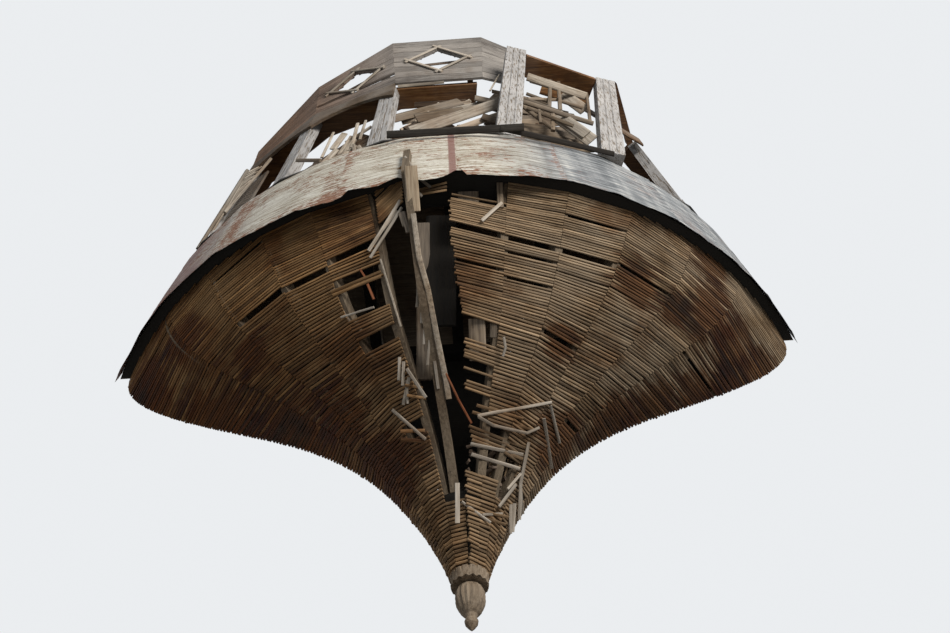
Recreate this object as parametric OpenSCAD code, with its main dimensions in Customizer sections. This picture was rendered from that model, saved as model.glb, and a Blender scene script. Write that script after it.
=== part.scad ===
// Wall-hung timber bay of a courtyard house: an ogee hull of thin laths on curved ribs,
// a breast clad in metal sheets, a window storey and a flared cove with diamond openings.
// X runs along the wall, +Y goes into it, Z is up. The wall face is the plane y = 0 and
// the origin is on the back of the wall plate, level with the rim of the hull.

/* [Bay] */
// Half width of the clad breast where it meets the wall
bay_half_w = 2475; // [2200:5:2800]
// How far the clad breast stands out from the wall
bay_out = 1430; // [1300:10:1700]
// Height of the clad breast above the hull's rim
breast_h = 800; // [600:10:1000]
// How far the metal hangs below the hull's rim
metal_lap = 40; // [20:5:60]
// Thickness of the metal sheets
metal_t = 3; // [2:0.5:5]
// Thickness of the breast boards behind the metal
breast_t = 25; // [18:1:35]

/* [Hull] */
// Half width of the hull at its rim
hull_half_w = 2400; // [2000:10:2450]
// How far the rim of the hull stands out from the wall
hull_out = 1370; // [1150:10:1400]
// Depth of the hull from its rim to the pendant
hull_drop = 2080; // [1800:10:2400]
// Thickness of the lath skin
lath_t = 14; // [10:1:20]
// Height of a row of missing laths
lath_gap = 34; // [24:1:50]
// Thickness of a rib
rib_w = 45; // [35:1:60]
// Depth of a rib behind the laths
rib_deep = 110; // [80:5:130]

/* [Floor] */
// Height of the wall plate above and below the rim
plate_half_h = 60; // [40:5:80]
// Thickness of the wall plate
plate_t = 100; // [70:5:140]
// Width of the curved rim beam
rim_w = 230; // [210:2:260]
// Height of the floor joists
joist_h = 120; // [90:5:160]
// Width of the floor joists
joist_w = 80; // [60:5:110]
// Distance from one floor joist to the next
joist_step = 600; // [450:10:700]
// Thickness of the floor boards
deck_t = 25; // [20:1:40]

/* [Window storey] */
// Thickness of the sill board
sill_t = 30; // [24:1:50]
// How far the corners of the storey stand outside the metal
facade_out = 25; // [15:1:40]
// Turn of the storey's corners about the bay's centre, in degrees
storey_turn = -1.1; // [-2:0.1:2]
// Height of the posts
post_h = 1820; // [1500:10:2100]
// Width of a post on its face
post_w = 150; // [110:5:190]
// Width of the two leaning posts
lean_post_w = 190; // [140:5:220]
// Thickness of a post
post_t = 90; // [60:5:110]
// Height of the head plate on the posts
head_h = 100; // [70:5:140]
// Depth of the head plate, from front to back
head_t = 190; // [140:5:220]
// How far the head plate stands behind the corners of the storey
head_back = 55; // [40:5:80]
// Depth of the arched valance at the posts
valance_drop = 440; // [340:10:520]
// Rise of the valance's arch
valance_rise = 200; // [100:10:240]
// Thickness of the valance boards
valance_t = 25; // [18:1:35]
// Width of the lattice screen beside the outer left post
screen_w = 300; // [240:5:340]
// Height of the lattice screen
screen_h = 1250; // [900:10:1400]

/* [Cove] */
// Slope length of the flared cove
cove_len = 780; // [600:10:900]
// How far the front of the cove leans out from upright, in degrees
cove_lean = 18; // [10:1:26]
// How far the cove's boards hang below the top of the head plate
cove_lap = 60; // [30:5:80]
// Thickness of the cove boards
cove_t = 25; // [18:1:35]
// Width of the diamond opening
diamond_w = 500; // [380:10:560]
// Height of the diamond opening along the slope
diamond_h = 400; // [300:10:460]
// Width of the sticks round the diamond
stick_w = 42; // [25:1:50]
// Thickness of the sticks round the diamond
stick_t = 16; // [10:1:24]

/* [Damage] */
// Movement of the first leaning post's head along the wall
slip_1_side = 224; // [0:4:280]
// Movement of the first leaning post's head away from the wall
slip_1_out = 212; // [0:4:240]
// Movement of the second leaning post's head along the wall
slip_2_side = 290; // [240:5:330]
// Movement of the second leaning post's head away from the wall
slip_2_out = 106; // [60:2:140]
// Height of the loose rib's head above the rim
loose_top = 370; // [300:10:420]
// How far the loose rib stands off the hull's line near the rim
loose_sway = 190; // [180:5:220]
// Depth where the laths begin beside the long gap
front_from = 170; // [150:5:250]
// Depth of the row of missing laths on the right
split_r = 400; // [370:5:440]
// Depth of the row of missing laths on the left
split_l = 330; // [300:5:360]
// Depth where the hole on the left begins
hole_from = 480; // [450:5:520]
// Depth where the hole on the left ends
hole_to = 700; // [650:5:740]
// Depth of the first broken row on the right
break_high = 800; // [760:5:860]
// Depth of the broken row under the hole on the left
break_left = 900; // [850:5:1000]
// Depth where the laths on the right are broken off
break_mid = 1180; // [1100:5:1250]
// Depth where whole laths begin again near the pendant
break_low = 1560; // [1500:5:1640]

/* [Pendant] */
// Radius of the fluted finial
finial_r = 74; // [60:1:90]
// Flutes round the finial
flutes = 16; // [10:1:24]
// Radius of the scalloped collar
collar_r = 96; // [84:1:120]

/* [Hidden] */

fit = 0.3;                 // clearance where two pieces seat
long = 10000;              // longer than anything here
arc_fn = 360;

// The clad breast is an arc of a circle in plan.
bay_r = (bay_half_w * bay_half_w + bay_out * bay_out) / (2 * bay_out);
bay_cy = bay_r - bay_out;
metal_in_r = bay_r - metal_t;
frame_r = metal_in_r - fit;
rim_in_r = frame_r - rim_w;
joist_z = plate_half_h;
rim_h = joist_z + joist_h;
deck_z = rim_h;
sill_z = breast_h;
post_z = sill_z + sill_t;
head_z = post_z + post_h;
head_top = head_z + head_h;
cove_z = head_top - cove_lap;

// Plan bearings of the ribs, seen from the pendant, and of the storey's corners and the
// seams of the metal, seen from the centre of the breast's arc.
bearings = [0, 16, 32, 48, 64, 77, 90];
facade_r = bay_r + facade_out;
wall_angle = acos(bay_cy / facade_r);
wall_face = 1.125;         // width of a face against the wall, as a share of the others
face_angle = 2 * wall_angle / (5 + 2 * wall_face);
angles = concat([-wall_angle], [for (k = [-2.5:1:2.5]) k * face_angle + storey_turn], [wall_angle]);
seam_mid = 0.8;
seam_side = 31;
metal_wall_angle = acos(bay_cy / bay_r);

// Ogee of the hull, as two Bezier curves each: against the wall and at the front.
// Points are [share of the reach, share of the drop].
side_curve = [[1, 0], [0.99, 0.19], [0.765, 0.28], [0.53, 0.39],
              [0.265, 0.51], [0.138, 0.69], [0.03, 1]];
front_curve = [[1, 0], [0.88, 0.11], [0.805, 0.30], [0.698, 0.43],
               [0.607, 0.51], [0.262, 0.67], [0.12, 1]];
rib_end = 0.82;            // share of the drop where the ribs stop on the core

function bez(p, k, t) =
    pow(1 - t, 3) * p[k] + 3 * pow(1 - t, 2) * t * p[k + 1]
    + 3 * (1 - t) * t * t * p[k + 2] + pow(t, 3) * p[k + 3];
function find_t(p, k, y, lo, hi, n) =
    n == 0 ? (lo + hi) / 2
    : bez(p, k, (lo + hi) / 2)[1] < y ? find_t(p, k, y, (lo + hi) / 2, hi, n - 1)
    : find_t(p, k, y, lo, (lo + hi) / 2, n - 1);
function share_at(p, y) =
    let (k = y < p[3][1] ? 0 : 3) bez(p, k, find_t(p, k, y, 0, 1, 26))[0];
function side_at(d) = hull_half_w * share_at(side_curve, d / hull_drop);
function front_at(d) = hull_out * share_at(front_curve, d / hull_drop);

// Reach on a bearing to a circle of radius r centred c behind the wall face.
function arc_reach(b, r, c) = -c * cos(b) + sqrt(pow(c * cos(b), 2) - c * c + r * r);
// Reach of the hull on a bearing at a depth: the level section is a circular arc
// through both wall points and the front point.
function reach(b, d) =
    let (w = side_at(d), p = front_at(d), r = (w * w + p * p) / (2 * p))
    arc_reach(b, r, r - p);
function slope_at(b, d) =
    let (lo = max(0, d - 4), hi = min(hull_drop, d + 4))
    atan((reach(b, lo) - reach(b, hi)) / (hi - lo));
// A point of the hull on a bearing and a row, set in square to the skin.
row_longest = 65;          // longest straight stretch of a rib
row_count = ceil(hull_drop / row_longest);
row_h = hull_drop / row_count;
function row_point(b, k, inset) =
    let (d = k * row_h, a = slope_at(b, d), s = reach(b, d) - inset * cos(a))
    [s * sin(b), -s * cos(b), -d + inset * sin(a) * (k > 0 ? 1 : 0)];
// Between rows the skin is straight, so every piece that follows it agrees.
function hull_point(b, d, inset) =
    let (k = min(row_count - 1, floor(d / row_h)), f = d / row_h - k,
         p = row_point(b, k, inset))
    f < 0.001 ? p : p + (row_point(b, k + 1, inset) - p) * f;
function rows(d0, d1) =
    concat([d0], [for (k = [0:row_count]) if (k * row_h > d0 + 1 && k * row_h < d1 - 1) k * row_h], [d1]);

// A closed loft through rings of points with the same count. The warped faces are split
// along diagonals that match on both faces of a thin piece, and flip turns them round.
// Each end is closed by a strip between the ring's first half and its second half.
module loft(rings, flip = false) {
    n = len(rings[0]);
    m = len(rings);
    function at(i, j) = i * n + j % n;
    strip = [for (j = [0:ceil(n / 2) - 2]) each concat(
        [[j, j + 1, n - 1 - j]], j + 1 < n - 2 - j ? [[j + 1, n - 2 - j, n - 1 - j]] : [])];
    sides = [for (i = [0:m - 2], j = [0:n - 1]) each
        j < (n - 1) / 2 != flip
        ? [[at(i, j), at(i + 1, j + 1), at(i + 1, j)], [at(i, j), at(i, j + 1), at(i + 1, j + 1)]]
        : [[at(i, j), at(i, j + 1), at(i + 1, j)], [at(i + 1, j), at(i, j + 1), at(i + 1, j + 1)]]];
    polyhedron(
        points = [for (r = rings) each r],
        faces = concat([for (f = strip) [f[2], f[1], f[0]]], sides,
                       [for (f = strip) [for (j = f) (m - 1) * n + j]]));
}

// Skin across two or three bearings from one depth to another. Each end is cut back by
// a share of the way to the next bearing, given at the top and at the bottom.
end_gap = 1.5;             // joint between the ends of two laths
function span(a, b) = [for (k = [a:b]) bearings[k]];
function slid(p, q, share) = p + (q - p) * share + (q - p) / norm(q - p) * end_gap;
module skin(bs, d0, d1, cut0 = [0, 0], cut1 = [0, 0]) {
    last = len(bs) - 1;
    color("#6f5a40") loft([for (d = rows(max(d0, fit), d1))
        let (t = (d - d0) / (d1 - d0), c0 = cut0[0] + (cut0[1] - cut0[0]) * t,
             c1 = cut1[0] + (cut1[1] - cut1[0]) * t,
             o = [for (b = bs) hull_point(b, d, 0)], i = [for (b = bs) hull_point(b, d, lath_t)])
        concat(
            [slid(o[0], o[1], c0)], [for (k = [1:1:last - 1]) o[k]], [slid(o[last], o[last - 1], c1)],
            [slid(i[last], i[last - 1], c1)], [for (k = [last - 1:-1:1]) i[k]], [slid(i[0], i[1], c0)])]);
}

// Rib on a bearing, with its edge bevelled to both neighbouring skins.
rib_gap = 0.8;             // clearance between the laths and a rib
rib_inset = lath_t + rib_gap;
hip_end = 0.69;            // the rib nearest the wall stops higher, on the wall rib
function rib_depth(d) = rib_deep * (1 - 0.5 * d / hull_drop);
function toward(b, b_near, d) =
    let (p = hull_point(b, d, rib_inset), q = hull_point(b_near, d, rib_inset),
         across = [cos(b), sin(b), 0], off = abs((q - p) * across))
    p + (q - p) * rib_w / 2 / off;
function rib_ring(b, b_lo, b_hi, d) =
    let (p = hull_point(b, d, rib_inset),
         q = hull_point(b, d, rib_inset + rib_depth(d)),
         half = [cos(b), sin(b), 0] * rib_w / 2)
    [toward(b, b_lo, d), p, toward(b, b_hi, d), q + half, q - half];
module rib(i) {
    end = i == 5 ? hip_end : rib_end;
    color("#7a684e") loft([for (d = rows(fit, hull_drop * end))
        rib_ring(bearings[i], bearings[i - 1], bearings[i + 1], d)]);
}
module wall_rib_half() {
    b_near = bearings[5];
    color("#6b5a45") loft([for (d = rows(fit, hull_drop * rib_end))
        let (p = hull_point(90, d, rib_inset), near = hull_point(b_near, d, rib_inset + rib_gap),
             t = rib_w / (p[1] - near[1]),
             q = hull_point(90, d, rib_inset + rib_depth(d)))
        [p + (near - p) * t, p, q, q - [0, rib_w, 0]]]);
}

module wall_plate() {
    half = min(bay_half_w, hull_half_w - rib_inset - rib_deep - rib_w);
    color("#5f4d3b") intersection() {
        translate([-half, -plate_t, -plate_half_h])
            cube([2 * half, plate_t, 2 * plate_half_h]);
        translate([0, bay_cy, -long / 2]) cylinder(r = rim_in_r - fit, h = long, $fn = arc_fn);
    }
}
module wall_rib_right() { wall_rib_half(); }
module wall_rib_left() { mirror([1, 0, 0]) wall_rib_half(); }

// Boards on the wall that close the hull at the back, between the two wall ribs.
back_t = 25;
back_gap = 8;
back_inset = rib_inset + rib_deep + back_gap;
back_min = 12;             // least half width of the boards, low down
module back_boards() {
    top = -plate_half_h - fit;
    edge = [for (d = rows(plate_half_h, hull_drop * hip_end)) hull_point(90, d, back_inset)];
    low = [for (p = edge) if (p[2] < top - 1) [max(back_min, p[0]), p[2]]];
    side = concat([[low[0][0], top]], low);
    color("#4f4031") rotate([90, 0, 0]) linear_extrude(back_t)
        polygon(concat(side, [for (i = [len(side) - 1:-1:0]) [-side[i][0], side[i][1]]]));
}

module ribs_right() { for (i = [1:5]) rib(i); }
module ribs_left() { mirror([1, 0, 0]) for (i = [2:5]) rib(i); }

// The first rib on the left has sprung loose: its head stands in front of the metal.
loose_bearing = -10.5;
loose_head_t = 55;         // thickness of its head
loose_from = 160;          // depth where it leaves the metal behind
module loose_rib() {
    half = [cos(loose_bearing), sin(loose_bearing), 0] * rib_w / 2;
    radial = [sin(loose_bearing), -cos(loose_bearing), 0];
    end = hull_drop * rib_end;
    function section(p, t) = let (q = p - radial * t) [p - half, p + half, q + half, q - half];
    stand = arc_reach(loose_bearing, bay_r, bay_cy) + rib_w / 2 * tan(abs(loose_bearing) / 2);
    head = radial * (stand + fit + loose_head_t);
    color("#80705a") loft(concat(
        [for (z = [loose_top, -metal_lap - 10]) section(head + [0, 0, z], loose_head_t)],
        [for (d = rows(loose_from, end))
            section(hull_point(loose_bearing, d, rib_inset) + radial * loose_sway * pow(1 - d / end, 2),
                    rib_depth(d) * 0.6)]));
}

module lath_panel_right_1() {
    skin(span(0, 1), front_from, split_r);
    skin(span(0, 1), split_r + lath_gap, break_high);
    skin(span(0, 1), break_high + lath_gap, break_mid, cut0 = [0.55, 0]);
    skin(span(0, 1), break_low, hull_drop);
}
module lath_panel_right_2() {
    skin(span(1, 2), 0, split_r);
    skin(span(1, 2), split_r + lath_gap, break_mid);
    skin(span(1, 2), break_mid + lath_gap, hull_drop);
}
module split_skin(k, split) {
    skin(span(k, k + 1), 0, split);
    skin(span(k, k + 1), split + lath_gap, hull_drop);
}
module lath_panel_right_3() { split_skin(2, split_r); }
module lath_panel_right_4() { split_skin(3, split_r); }
module lath_panel_right_5() { skin(span(4, 6), 0, hull_drop); }
module left_of() { mirror([1, 0, 0]) children(); }
module lath_panel_left_1() { left_of() skin(span(0, 1), hull_drop * rib_end + lath_gap, hull_drop); }
module lath_panel_left_2() {
    left_of() {
        skin(span(1, 2), 0, split_l, cut0 = [0.4, 0.5]);
        skin(span(1, 2), split_l + lath_gap, hole_from, cut0 = [0.5, 0.52]);
        skin(span(1, 2), hole_to, break_left, cut0 = [0.5, 0.42]);
        skin(span(1, 2), break_left + lath_gap, hull_drop, cut0 = [0.42, 0]);
    }
}
module lath_panel_left_3() { left_of() split_skin(2, split_l); }
module lath_panel_left_4() { left_of() split_skin(3, split_l); }
module lath_panel_left_5() { left_of() skin(span(4, 6), 0, hull_drop); }

core_bearings = concat([for (k = [len(bearings) - 1:-1:1]) -bearings[k]], bearings);
module pendant_core() {
    color("#5a4836") loft([for (d = rows(hull_drop * rib_end + fit, hull_drop))
        [for (b = core_bearings) hull_point(b, d, rib_inset)]], flip = true);
}

finial_y = -finial_r - 12;
collar_h = 60;
collar_taper = 14;         // the collar is narrower below by this much
scallop_r = 7;
scallop_fn = 16;
bulb_h = 160;
module pendant_collar() {
    color("#8a7a68") translate([0, finial_y, -hull_drop - fit - collar_h]) difference() {
        cylinder(r1 = collar_r - collar_taper, r2 = collar_r, h = collar_h, $fn = 64);
        for (i = [0:flutes - 1]) rotate([0, 0, i * 360 / flutes])
            translate([collar_r, 0, -1]) cylinder(r = scallop_r, h = collar_h + 2, $fn = scallop_fn);
        translate([-long / 2, -finial_y, -1]) cube([long, long, collar_h + 2]);
    }
}
// Turned bulb with a neck and a tip; the flutes are carved into the bulb.
finial_profile = [[0.62, 0], [0.86, 0.1], [0.97, 0.27], [1, 0.45], [0.94, 0.62], [0.78, 0.8], [0.56, 0.94],
                  [0.42, 1], [0.36, 1.12], [0.44, 1.2], [0.4, 1.3], [0.22, 1.42], [0.06, 1.5]];
flute_points = 4;          // points round each flute
flute_deep = 0.09;         // depth of a flute, as a share of the radius
module finial() {
    top = -hull_drop - 2 * fit - collar_h;
    n = flutes * flute_points;
    color("#9c9287") translate([0, finial_y, top]) loft([for (p = finial_profile)
        let (cut = p[1] < 1 ? flute_deep * sin(180 * p[1]) : 0)
        [for (j = [0:n - 1]) let (a = 360 * j / n, wave = (1 - cos(a * flutes)) / 2)
            [cos(a), sin(a), 0] * finial_r * p[0] * (1 - cut * (1 - wave)) - [0, 0, p[1] * bulb_h]]]);
}

// Part of a level ring round the breast's centre, in front of the wall face.
module ring(r_in, r_out, z, h, a0 = -90, a1 = 90) {
    intersection() {
        translate([0, bay_cy, z]) rotate([0, 0, a0 - 90]) rotate_extrude(angle = a1 - a0, $fn = arc_fn)
            translate([r_in, 0]) square([r_out - r_in, h]);
        translate([-long / 2, -long, z - 1]) cube([long, long, h + 2]);
    }
}
module rim_beam() { color("#54432f") ring(rim_in_r, frame_r, 0, rim_h); }
module floor_joists() {
    color("#5a4936") for (i = [-3:3]) let (x = i * joist_step) intersection() {
        translate([x - joist_w / 2, -bay_out, joist_z + fit]) cube([joist_w, bay_out, joist_h - fit]);
        translate([0, bay_cy, 0]) cylinder(r = rim_in_r - fit, h = long, $fn = arc_fn);
    }
}
module floor_deck() { color("#6a5641") ring(0.1, frame_r, deck_z, deck_t); }
module breast_boards() {
    color("#6f5c46") ring(frame_r - breast_t, frame_r, deck_z + deck_t, breast_h - deck_z - deck_t);
}

module sheet(a0, a1) {
    gap = 0.05;
    color("#a9abab") ring(metal_in_r, bay_r, -metal_lap, breast_h + metal_lap - fit, a0 + gap, a1 - gap);
}
module metal_left_outer() { sheet(-metal_wall_angle - 1, -seam_side); }
module metal_left_inner() { sheet(-seam_side, seam_mid); }
module metal_right_inner() { sheet(seam_mid, seam_side); }
module metal_right_outer() { sheet(seam_side, metal_wall_angle + 1); }

// The storey has seven flat faces between eight corners.
function corner(k, r = facade_r) = [r * sin(angles[k]), bay_cy - r * cos(angles[k])];
function unit(v) = v / norm(v);
function mix(a, b, t) = a + (b - a) * t;
function half_face(i) = norm(corner(i + 1) - corner(i)) / 2;
function along(i) = unit(corner(i + 1) - corner(i));
function outward(i) = let (u = along(i)) [u[1], -u[0]];
// A plan point of a face: x along it from its middle, y out from it.
function face_point(i, x, y) = (corner(i) + corner(i + 1)) / 2 + along(i) * x + outward(i) * y;
function lift(p, z) = [p[0], p[1], z];
// Stand children on a face: x along it, y up, z outwards.
module on_face(i) {
    p = face_point(i, 0, 0);
    u = along(i);
    translate([p[0], p[1], 0]) rotate([0, 0, atan2(u[1], u[0])]) rotate([90, 0, 0]) children();
}
module house_side() { translate([-long / 2, -long]) square([long, long]); }

// The sill board has the storey's flat faces.
sill_wide = 230;           // width of the sill board, from front to back
module sill_board() {
    corners = [0:len(angles) - 1];
    color("#2e2822") translate([0, 0, sill_z]) linear_extrude(sill_t) intersection() {
        polygon(concat([for (k = corners) corner(k)],
            [for (k = [len(angles) - 1:-1:0]) corner(k, facade_r - sill_wide)]));
        house_side();
    }
}

// Plan of a post with two carved grooves down its outer side.
groove = 8;
groove_line = [[0, 0], [0.3, 0], [0.34, 1], [0.38, 0], [0.62, 0], [0.66, 1], [0.7, 0], [1, 0]];
post_back = -valance_t - fit;
function post_plan(i, x, w, y) = concat(
    [for (p = groove_line) face_point(i, x + p[0] * w, y - p[1] * groove)],
    [for (k = [len(groove_line) - 1:-1:0]) face_point(i, x + groove_line[k][0] * w, y - post_t)]);
// A post from the sill to a height; its head is moved in plan by a slip for each head height.
module post(i, x, w, y, top, slip = [0, 0]) {
    plan = post_plan(i, x, w, y);
    t = (top - post_z) / post_h;
    color("#9a948b") loft([[for (p = plan) lift(p + slip * t, top)], [for (p = plan) lift(p, post_z)]]);
}
module left_post(i) { post(i, half_face(i) - post_w, post_w, post_back, head_z - fit); }
module post_left_3() { left_post(0); }
module post_left_2() { left_post(1); }
module post_left_1() { left_post(2); }

// Two posts on the right lean, with the head plate between them.
slip_1 = [slip_1_side, -slip_1_out];
slip_2 = [slip_2_side, -slip_2_out];
lean_y_1 = 5;              // how far their feet stand out from the face
lean_y_2 = 38;
lean_x_1 = -half_face(4);
lean_set = 25;             // how far the second one's foot stands short of the corner
lean_x_2 = half_face(4) - lean_set;
over_head = 110;           // how far the first one stands above the head plate
module post_right_1() { post(4, lean_x_1, lean_post_w, lean_y_1, head_top + over_head, slip_1); }
module post_right_2() { post(4, lean_x_2, lean_post_w, lean_y_2, head_top, slip_2); }
module post_right_3() { post(6, -half_face(6), post_w, post_back, head_z - fit); }
module wall_post(i, x) {
    color("#948c80") translate([0, 0, post_z]) linear_extrude(post_h - fit) intersection() {
        polygon([for (p = [[0, 0], [post_w, 0], [post_w, -2 * post_t], [0, -2 * post_t]])
            face_point(i, x + p[0], post_back + p[1])]);
        house_side();
    }
}
module wall_post_left() { wall_post(0, -half_face(0)); }
module wall_post_right() { wall_post(6, half_face(6) - post_w); }

module head_length(outline) {
    color("#6d5b45") translate([0, 0, head_z]) linear_extrude(head_h) intersection() {
        polygon(outline);
        house_side();
    }
}
function head_corner(k, back) = corner(k, facade_r - head_back - back);
module head_piece(i, end = 1) {
    o = [for (k = [i, i + 1]) head_corner(k, 0)];
    n = [for (k = [i, i + 1]) head_corner(k, head_t)];
    trim = along(i) * fit;
    head_length([o[0] + trim, mix(o[0], o[1], end) - trim, mix(n[0], n[1], end) - trim, n[0] + trim]);
}
module head_plate_left() { for (i = [0:2]) head_piece(i); }
front_end = 0.94;          // the front length is cut off before it reaches the leaning post
module head_plate_front() { head_piece(3, front_end); }

// The length between the leaning posts has moved out with them; a plank ties it back.
function lean_point(x, y, slip, z) = face_point(4, x, y) + slip * (z - post_z) / post_h;
plank_t = 60;
module head_plate_right() {
    a = lean_point(lean_x_1 + lean_post_w, lean_y_1, slip_1, head_top);
    b = lean_point(lean_x_2, lean_y_2, slip_2, head_z);
    u = unit(b - a);
    n = [-u[1], u[0]];
    head_length([a + u * fit, b - u * fit, b - u * fit + n * head_t, a + u * fit + n * head_t]);
    c = lean_point(lean_x_2 + lean_post_w, lean_y_2, slip_2, head_top);
    c_in = lean_point(lean_x_2 + lean_post_w, lean_y_2 - post_t, slip_2, head_top);
    d = head_corner(6, 0);
    v = unit(d - c);
    head_length([c + along(4) * fit, d - v * fit, d - v * fit + [-v[1], v[0]] * plank_t, c_in + along(4) * fit]);
    head_piece(6);
}

// Board with an arched lower edge, in front of the posts and the head plate.
valance_foot = 14;         // flat end of its lower edge
module valance(i) {
    half = half_face(i) - valance_t * tan(face_angle / 2) - fit;
    top = cove_z - fit;
    span_half = half - valance_foot;
    r = (span_half * span_half + valance_rise * valance_rise) / (2 * valance_rise);
    color("#8d8377") on_face(i) translate([0, 0, -valance_t]) linear_extrude(valance_t) difference() {
        translate([-half, top - valance_drop]) square([2 * half, valance_drop]);
        translate([0, top - valance_drop + valance_rise - r]) circle(r = r, $fn = 128);
    }
}
module arched_valances() { for (i = [1, 2]) valance(i); }

// The cove leans out at the front and stands upright towards the wall. Each corner has a
// share of the front's flare and of its rise.
flare_share = [0, 0.12, 0.45, 1, 1, 0.45];
rise_share = [0, 0.5, 1, 1, 1, 1];
function flare(k) = cove_len * sin(cove_lean) * flare_share[k];
function rise(k) = cove_len * cos(cove_lean) * rise_share[k];
function cove_point(i, u, v, deep) =
    let (low = mix(corner(i), corner(i + 1), u),
         high = mix(corner(i, facade_r + flare(i)), corner(i + 1, facade_r + flare(i + 1)), u))
    lift(mix(low, high, v) - outward(i) * deep, cove_z + v * mix(rise(i), rise(i + 1), u));
mitre = 6.5;               // how far the inner edge of the boards is cut back at a corner
cove_rows = 12;            // straight strips that a panel's twist is made of
module cove_boards(i, u0, u1, v0, v1) {
    joint = fit / 2 / half_face(i);
    back = (fit + mitre) / 2 / half_face(i);
    color("#8d8377") loft([for (k = [0:cove_rows]) let (v = mix(v1, v0, k / cove_rows)) [
        cove_point(i, u0 + joint, v, 0), cove_point(i, u1 - joint, v, 0),
        cove_point(i, u1 - back, v, cove_t), cove_point(i, u0 + back, v, cove_t)]]);
}
// Children stand on the middle of a cove panel, with z out from its boards.
module on_cove(i) {
    up = (rise(i) + rise(i + 1)) / 2;
    out = (flare(i) + flare(i + 1)) / 2 * cos(face_angle / 2);
    on_face(i) translate([0, cove_z + up / 2, out / 2]) rotate([atan(out / up), 0, 0]) children();
}
module diamond(w, h) { polygon([[-w / 2, 0], [0, -h / 2], [w / 2, 0], [0, h / 2]]); }
grow = stick_w * norm([diamond_w, diamond_h]);
module diamond_sticks() {
    difference() {
        diamond(diamond_w + 2 * grow / diamond_h, diamond_h + 2 * grow / diamond_w);
        diamond(diamond_w, diamond_h);
    }
}
module diamond_panel(i, v0) {
    color("#8d8377") union() {
        difference() {
            cove_boards(i, 0, 1, v0, 1);
            on_cove(i) translate([0, 0, -2 * cove_t]) linear_extrude(4 * cove_t) diamond(diamond_w, diamond_h);
        }
        on_cove(i) translate([0, 0, -stick_t / 2]) linear_extrude(stick_t * 1.5) diamond_sticks();
    }
}
gap_v = [0.19, 0.26];      // the missing board on the left, as shares of the rise
module cove_front() { diamond_panel(3, 0); }
module cove_left_1() {
    cove_boards(2, 0, 1, 0, gap_v[0]);
    diamond_panel(2, gap_v[1]);
}
module cove_left_2() { cove_boards(1, 0, 1, 0, 1); }
broken_end = 0.42;         // the right panel is broken off behind the leaning post
module cove_right_1() { cove_boards(4, 0, broken_end, 0, 1); }

// A bracket stands on the head plate and carries the boards at a share of a face.
bracket_t = 50;
bracket_clear = 6;         // clearance between a bracket and the boards
bracket_top = 0.92;        // share of the rise where it stops
bracket_neck = 0.7;        // share of the depth that its top end leaves out
module cove_bracket(i, u) {
    x = mix(-half_face(i), half_face(i), u);
    back = -head_back - head_t;
    skew = (bracket_t / 2 + flare(i + 1) * sin(face_angle / 2)) * abs(flare(i + 1) - flare(i)) / half_face(i) / 2;
    function front(v) = let (p = cove_point(i, u, v, cove_t + bracket_clear + skew * v))
        (p - lift(face_point(i, 0, 0), 0)) * lift(outward(i), 0);
    top = mix(rise(i), rise(i + 1), u) * bracket_top;
    foot = cove_lap / mix(rise(i), rise(i + 1), u);
    color("#5d4c3a") on_face(i) translate([x - bracket_t / 2, head_top, 0]) rotate([0, 90, 0])
        linear_extrude(bracket_t) polygon([for (p = [
            [back, 0], [front(foot), 0], [front(bracket_top), top - cove_lap],
            [mix(back, front(bracket_top), bracket_neck), top - cove_lap]]) [-p[0], p[1]]]);
}
bracket_left = 0.08;       // where the brackets stand, as shares of a face
bracket_left_low = 0.3;    // clear of the low end of the cove
bracket_right = 0.86;
module cove_brackets() {
    for (i = [2, 3], u = [bracket_left, bracket_right]) cove_bracket(i, u);
    for (u = [bracket_left_low, bracket_right]) cove_bracket(1, u);
}

panel_gap = 1;
panel_t = 20;
module side_panel(i, x0, x1) {
    color("#80735f") on_face(i) translate([x0 + panel_gap, post_z + panel_gap, post_back - post_t / 2])
        cube([x1 - x0 - 2 * panel_gap, head_z - post_z - 2 * panel_gap, panel_t]);
}
// Lattice of thin bars in a frame, left standing beside the outer left post.
screen_bar = 26;
lattice_bar = 12;
lattice_step = 72;
screen_t = 18;
screen_from = (post_t / 2 - post_back) * tan(face_angle) + 2 * fit;
module screen() {
    color("#80735f") on_face(1) translate([-half_face(1) + screen_from, post_z + fit, post_back - post_t / 2])
        linear_extrude(screen_t) {
            difference() {
                square([screen_w, screen_h]);
                translate([screen_bar, screen_bar]) square([screen_w, screen_h] - 2 * [screen_bar, screen_bar]);
            }
            intersection() {
                square([screen_w, screen_h]);
                for (s = [-1, 1], y = [-screen_w:lattice_step:screen_h + screen_w])
                    translate([screen_w / 2, y]) rotate(45 * s) square([long / 10, lattice_bar], center = true);
            }
        }
}
module side_panels() {
    side_panel(0, -half_face(0) + post_w, half_face(0) - post_w);
    side_panel(6, -half_face(6) + post_w, half_face(6) - post_w);
    screen();
}

wall_plate();
wall_rib_left();
wall_rib_right();
back_boards();
ribs_left();
ribs_right();
loose_rib();
lath_panel_left_1();
lath_panel_left_2();
lath_panel_left_3();
lath_panel_left_4();
lath_panel_left_5();
lath_panel_right_1();
lath_panel_right_2();
lath_panel_right_3();
lath_panel_right_4();
lath_panel_right_5();
pendant_core();
pendant_collar();
finial();
rim_beam();
floor_joists();
floor_deck();
breast_boards();
metal_left_outer();
metal_left_inner();
metal_right_inner();
metal_right_outer();
sill_board();
post_left_1();
post_left_2();
post_left_3();
post_right_1();
post_right_2();
post_right_3();
wall_post_left();
wall_post_right();
head_plate_left();
head_plate_front();
head_plate_right();
arched_valances();
cove_front();
cove_left_1();
cove_left_2();
cove_right_1();
cove_brackets();
side_panels();
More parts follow.
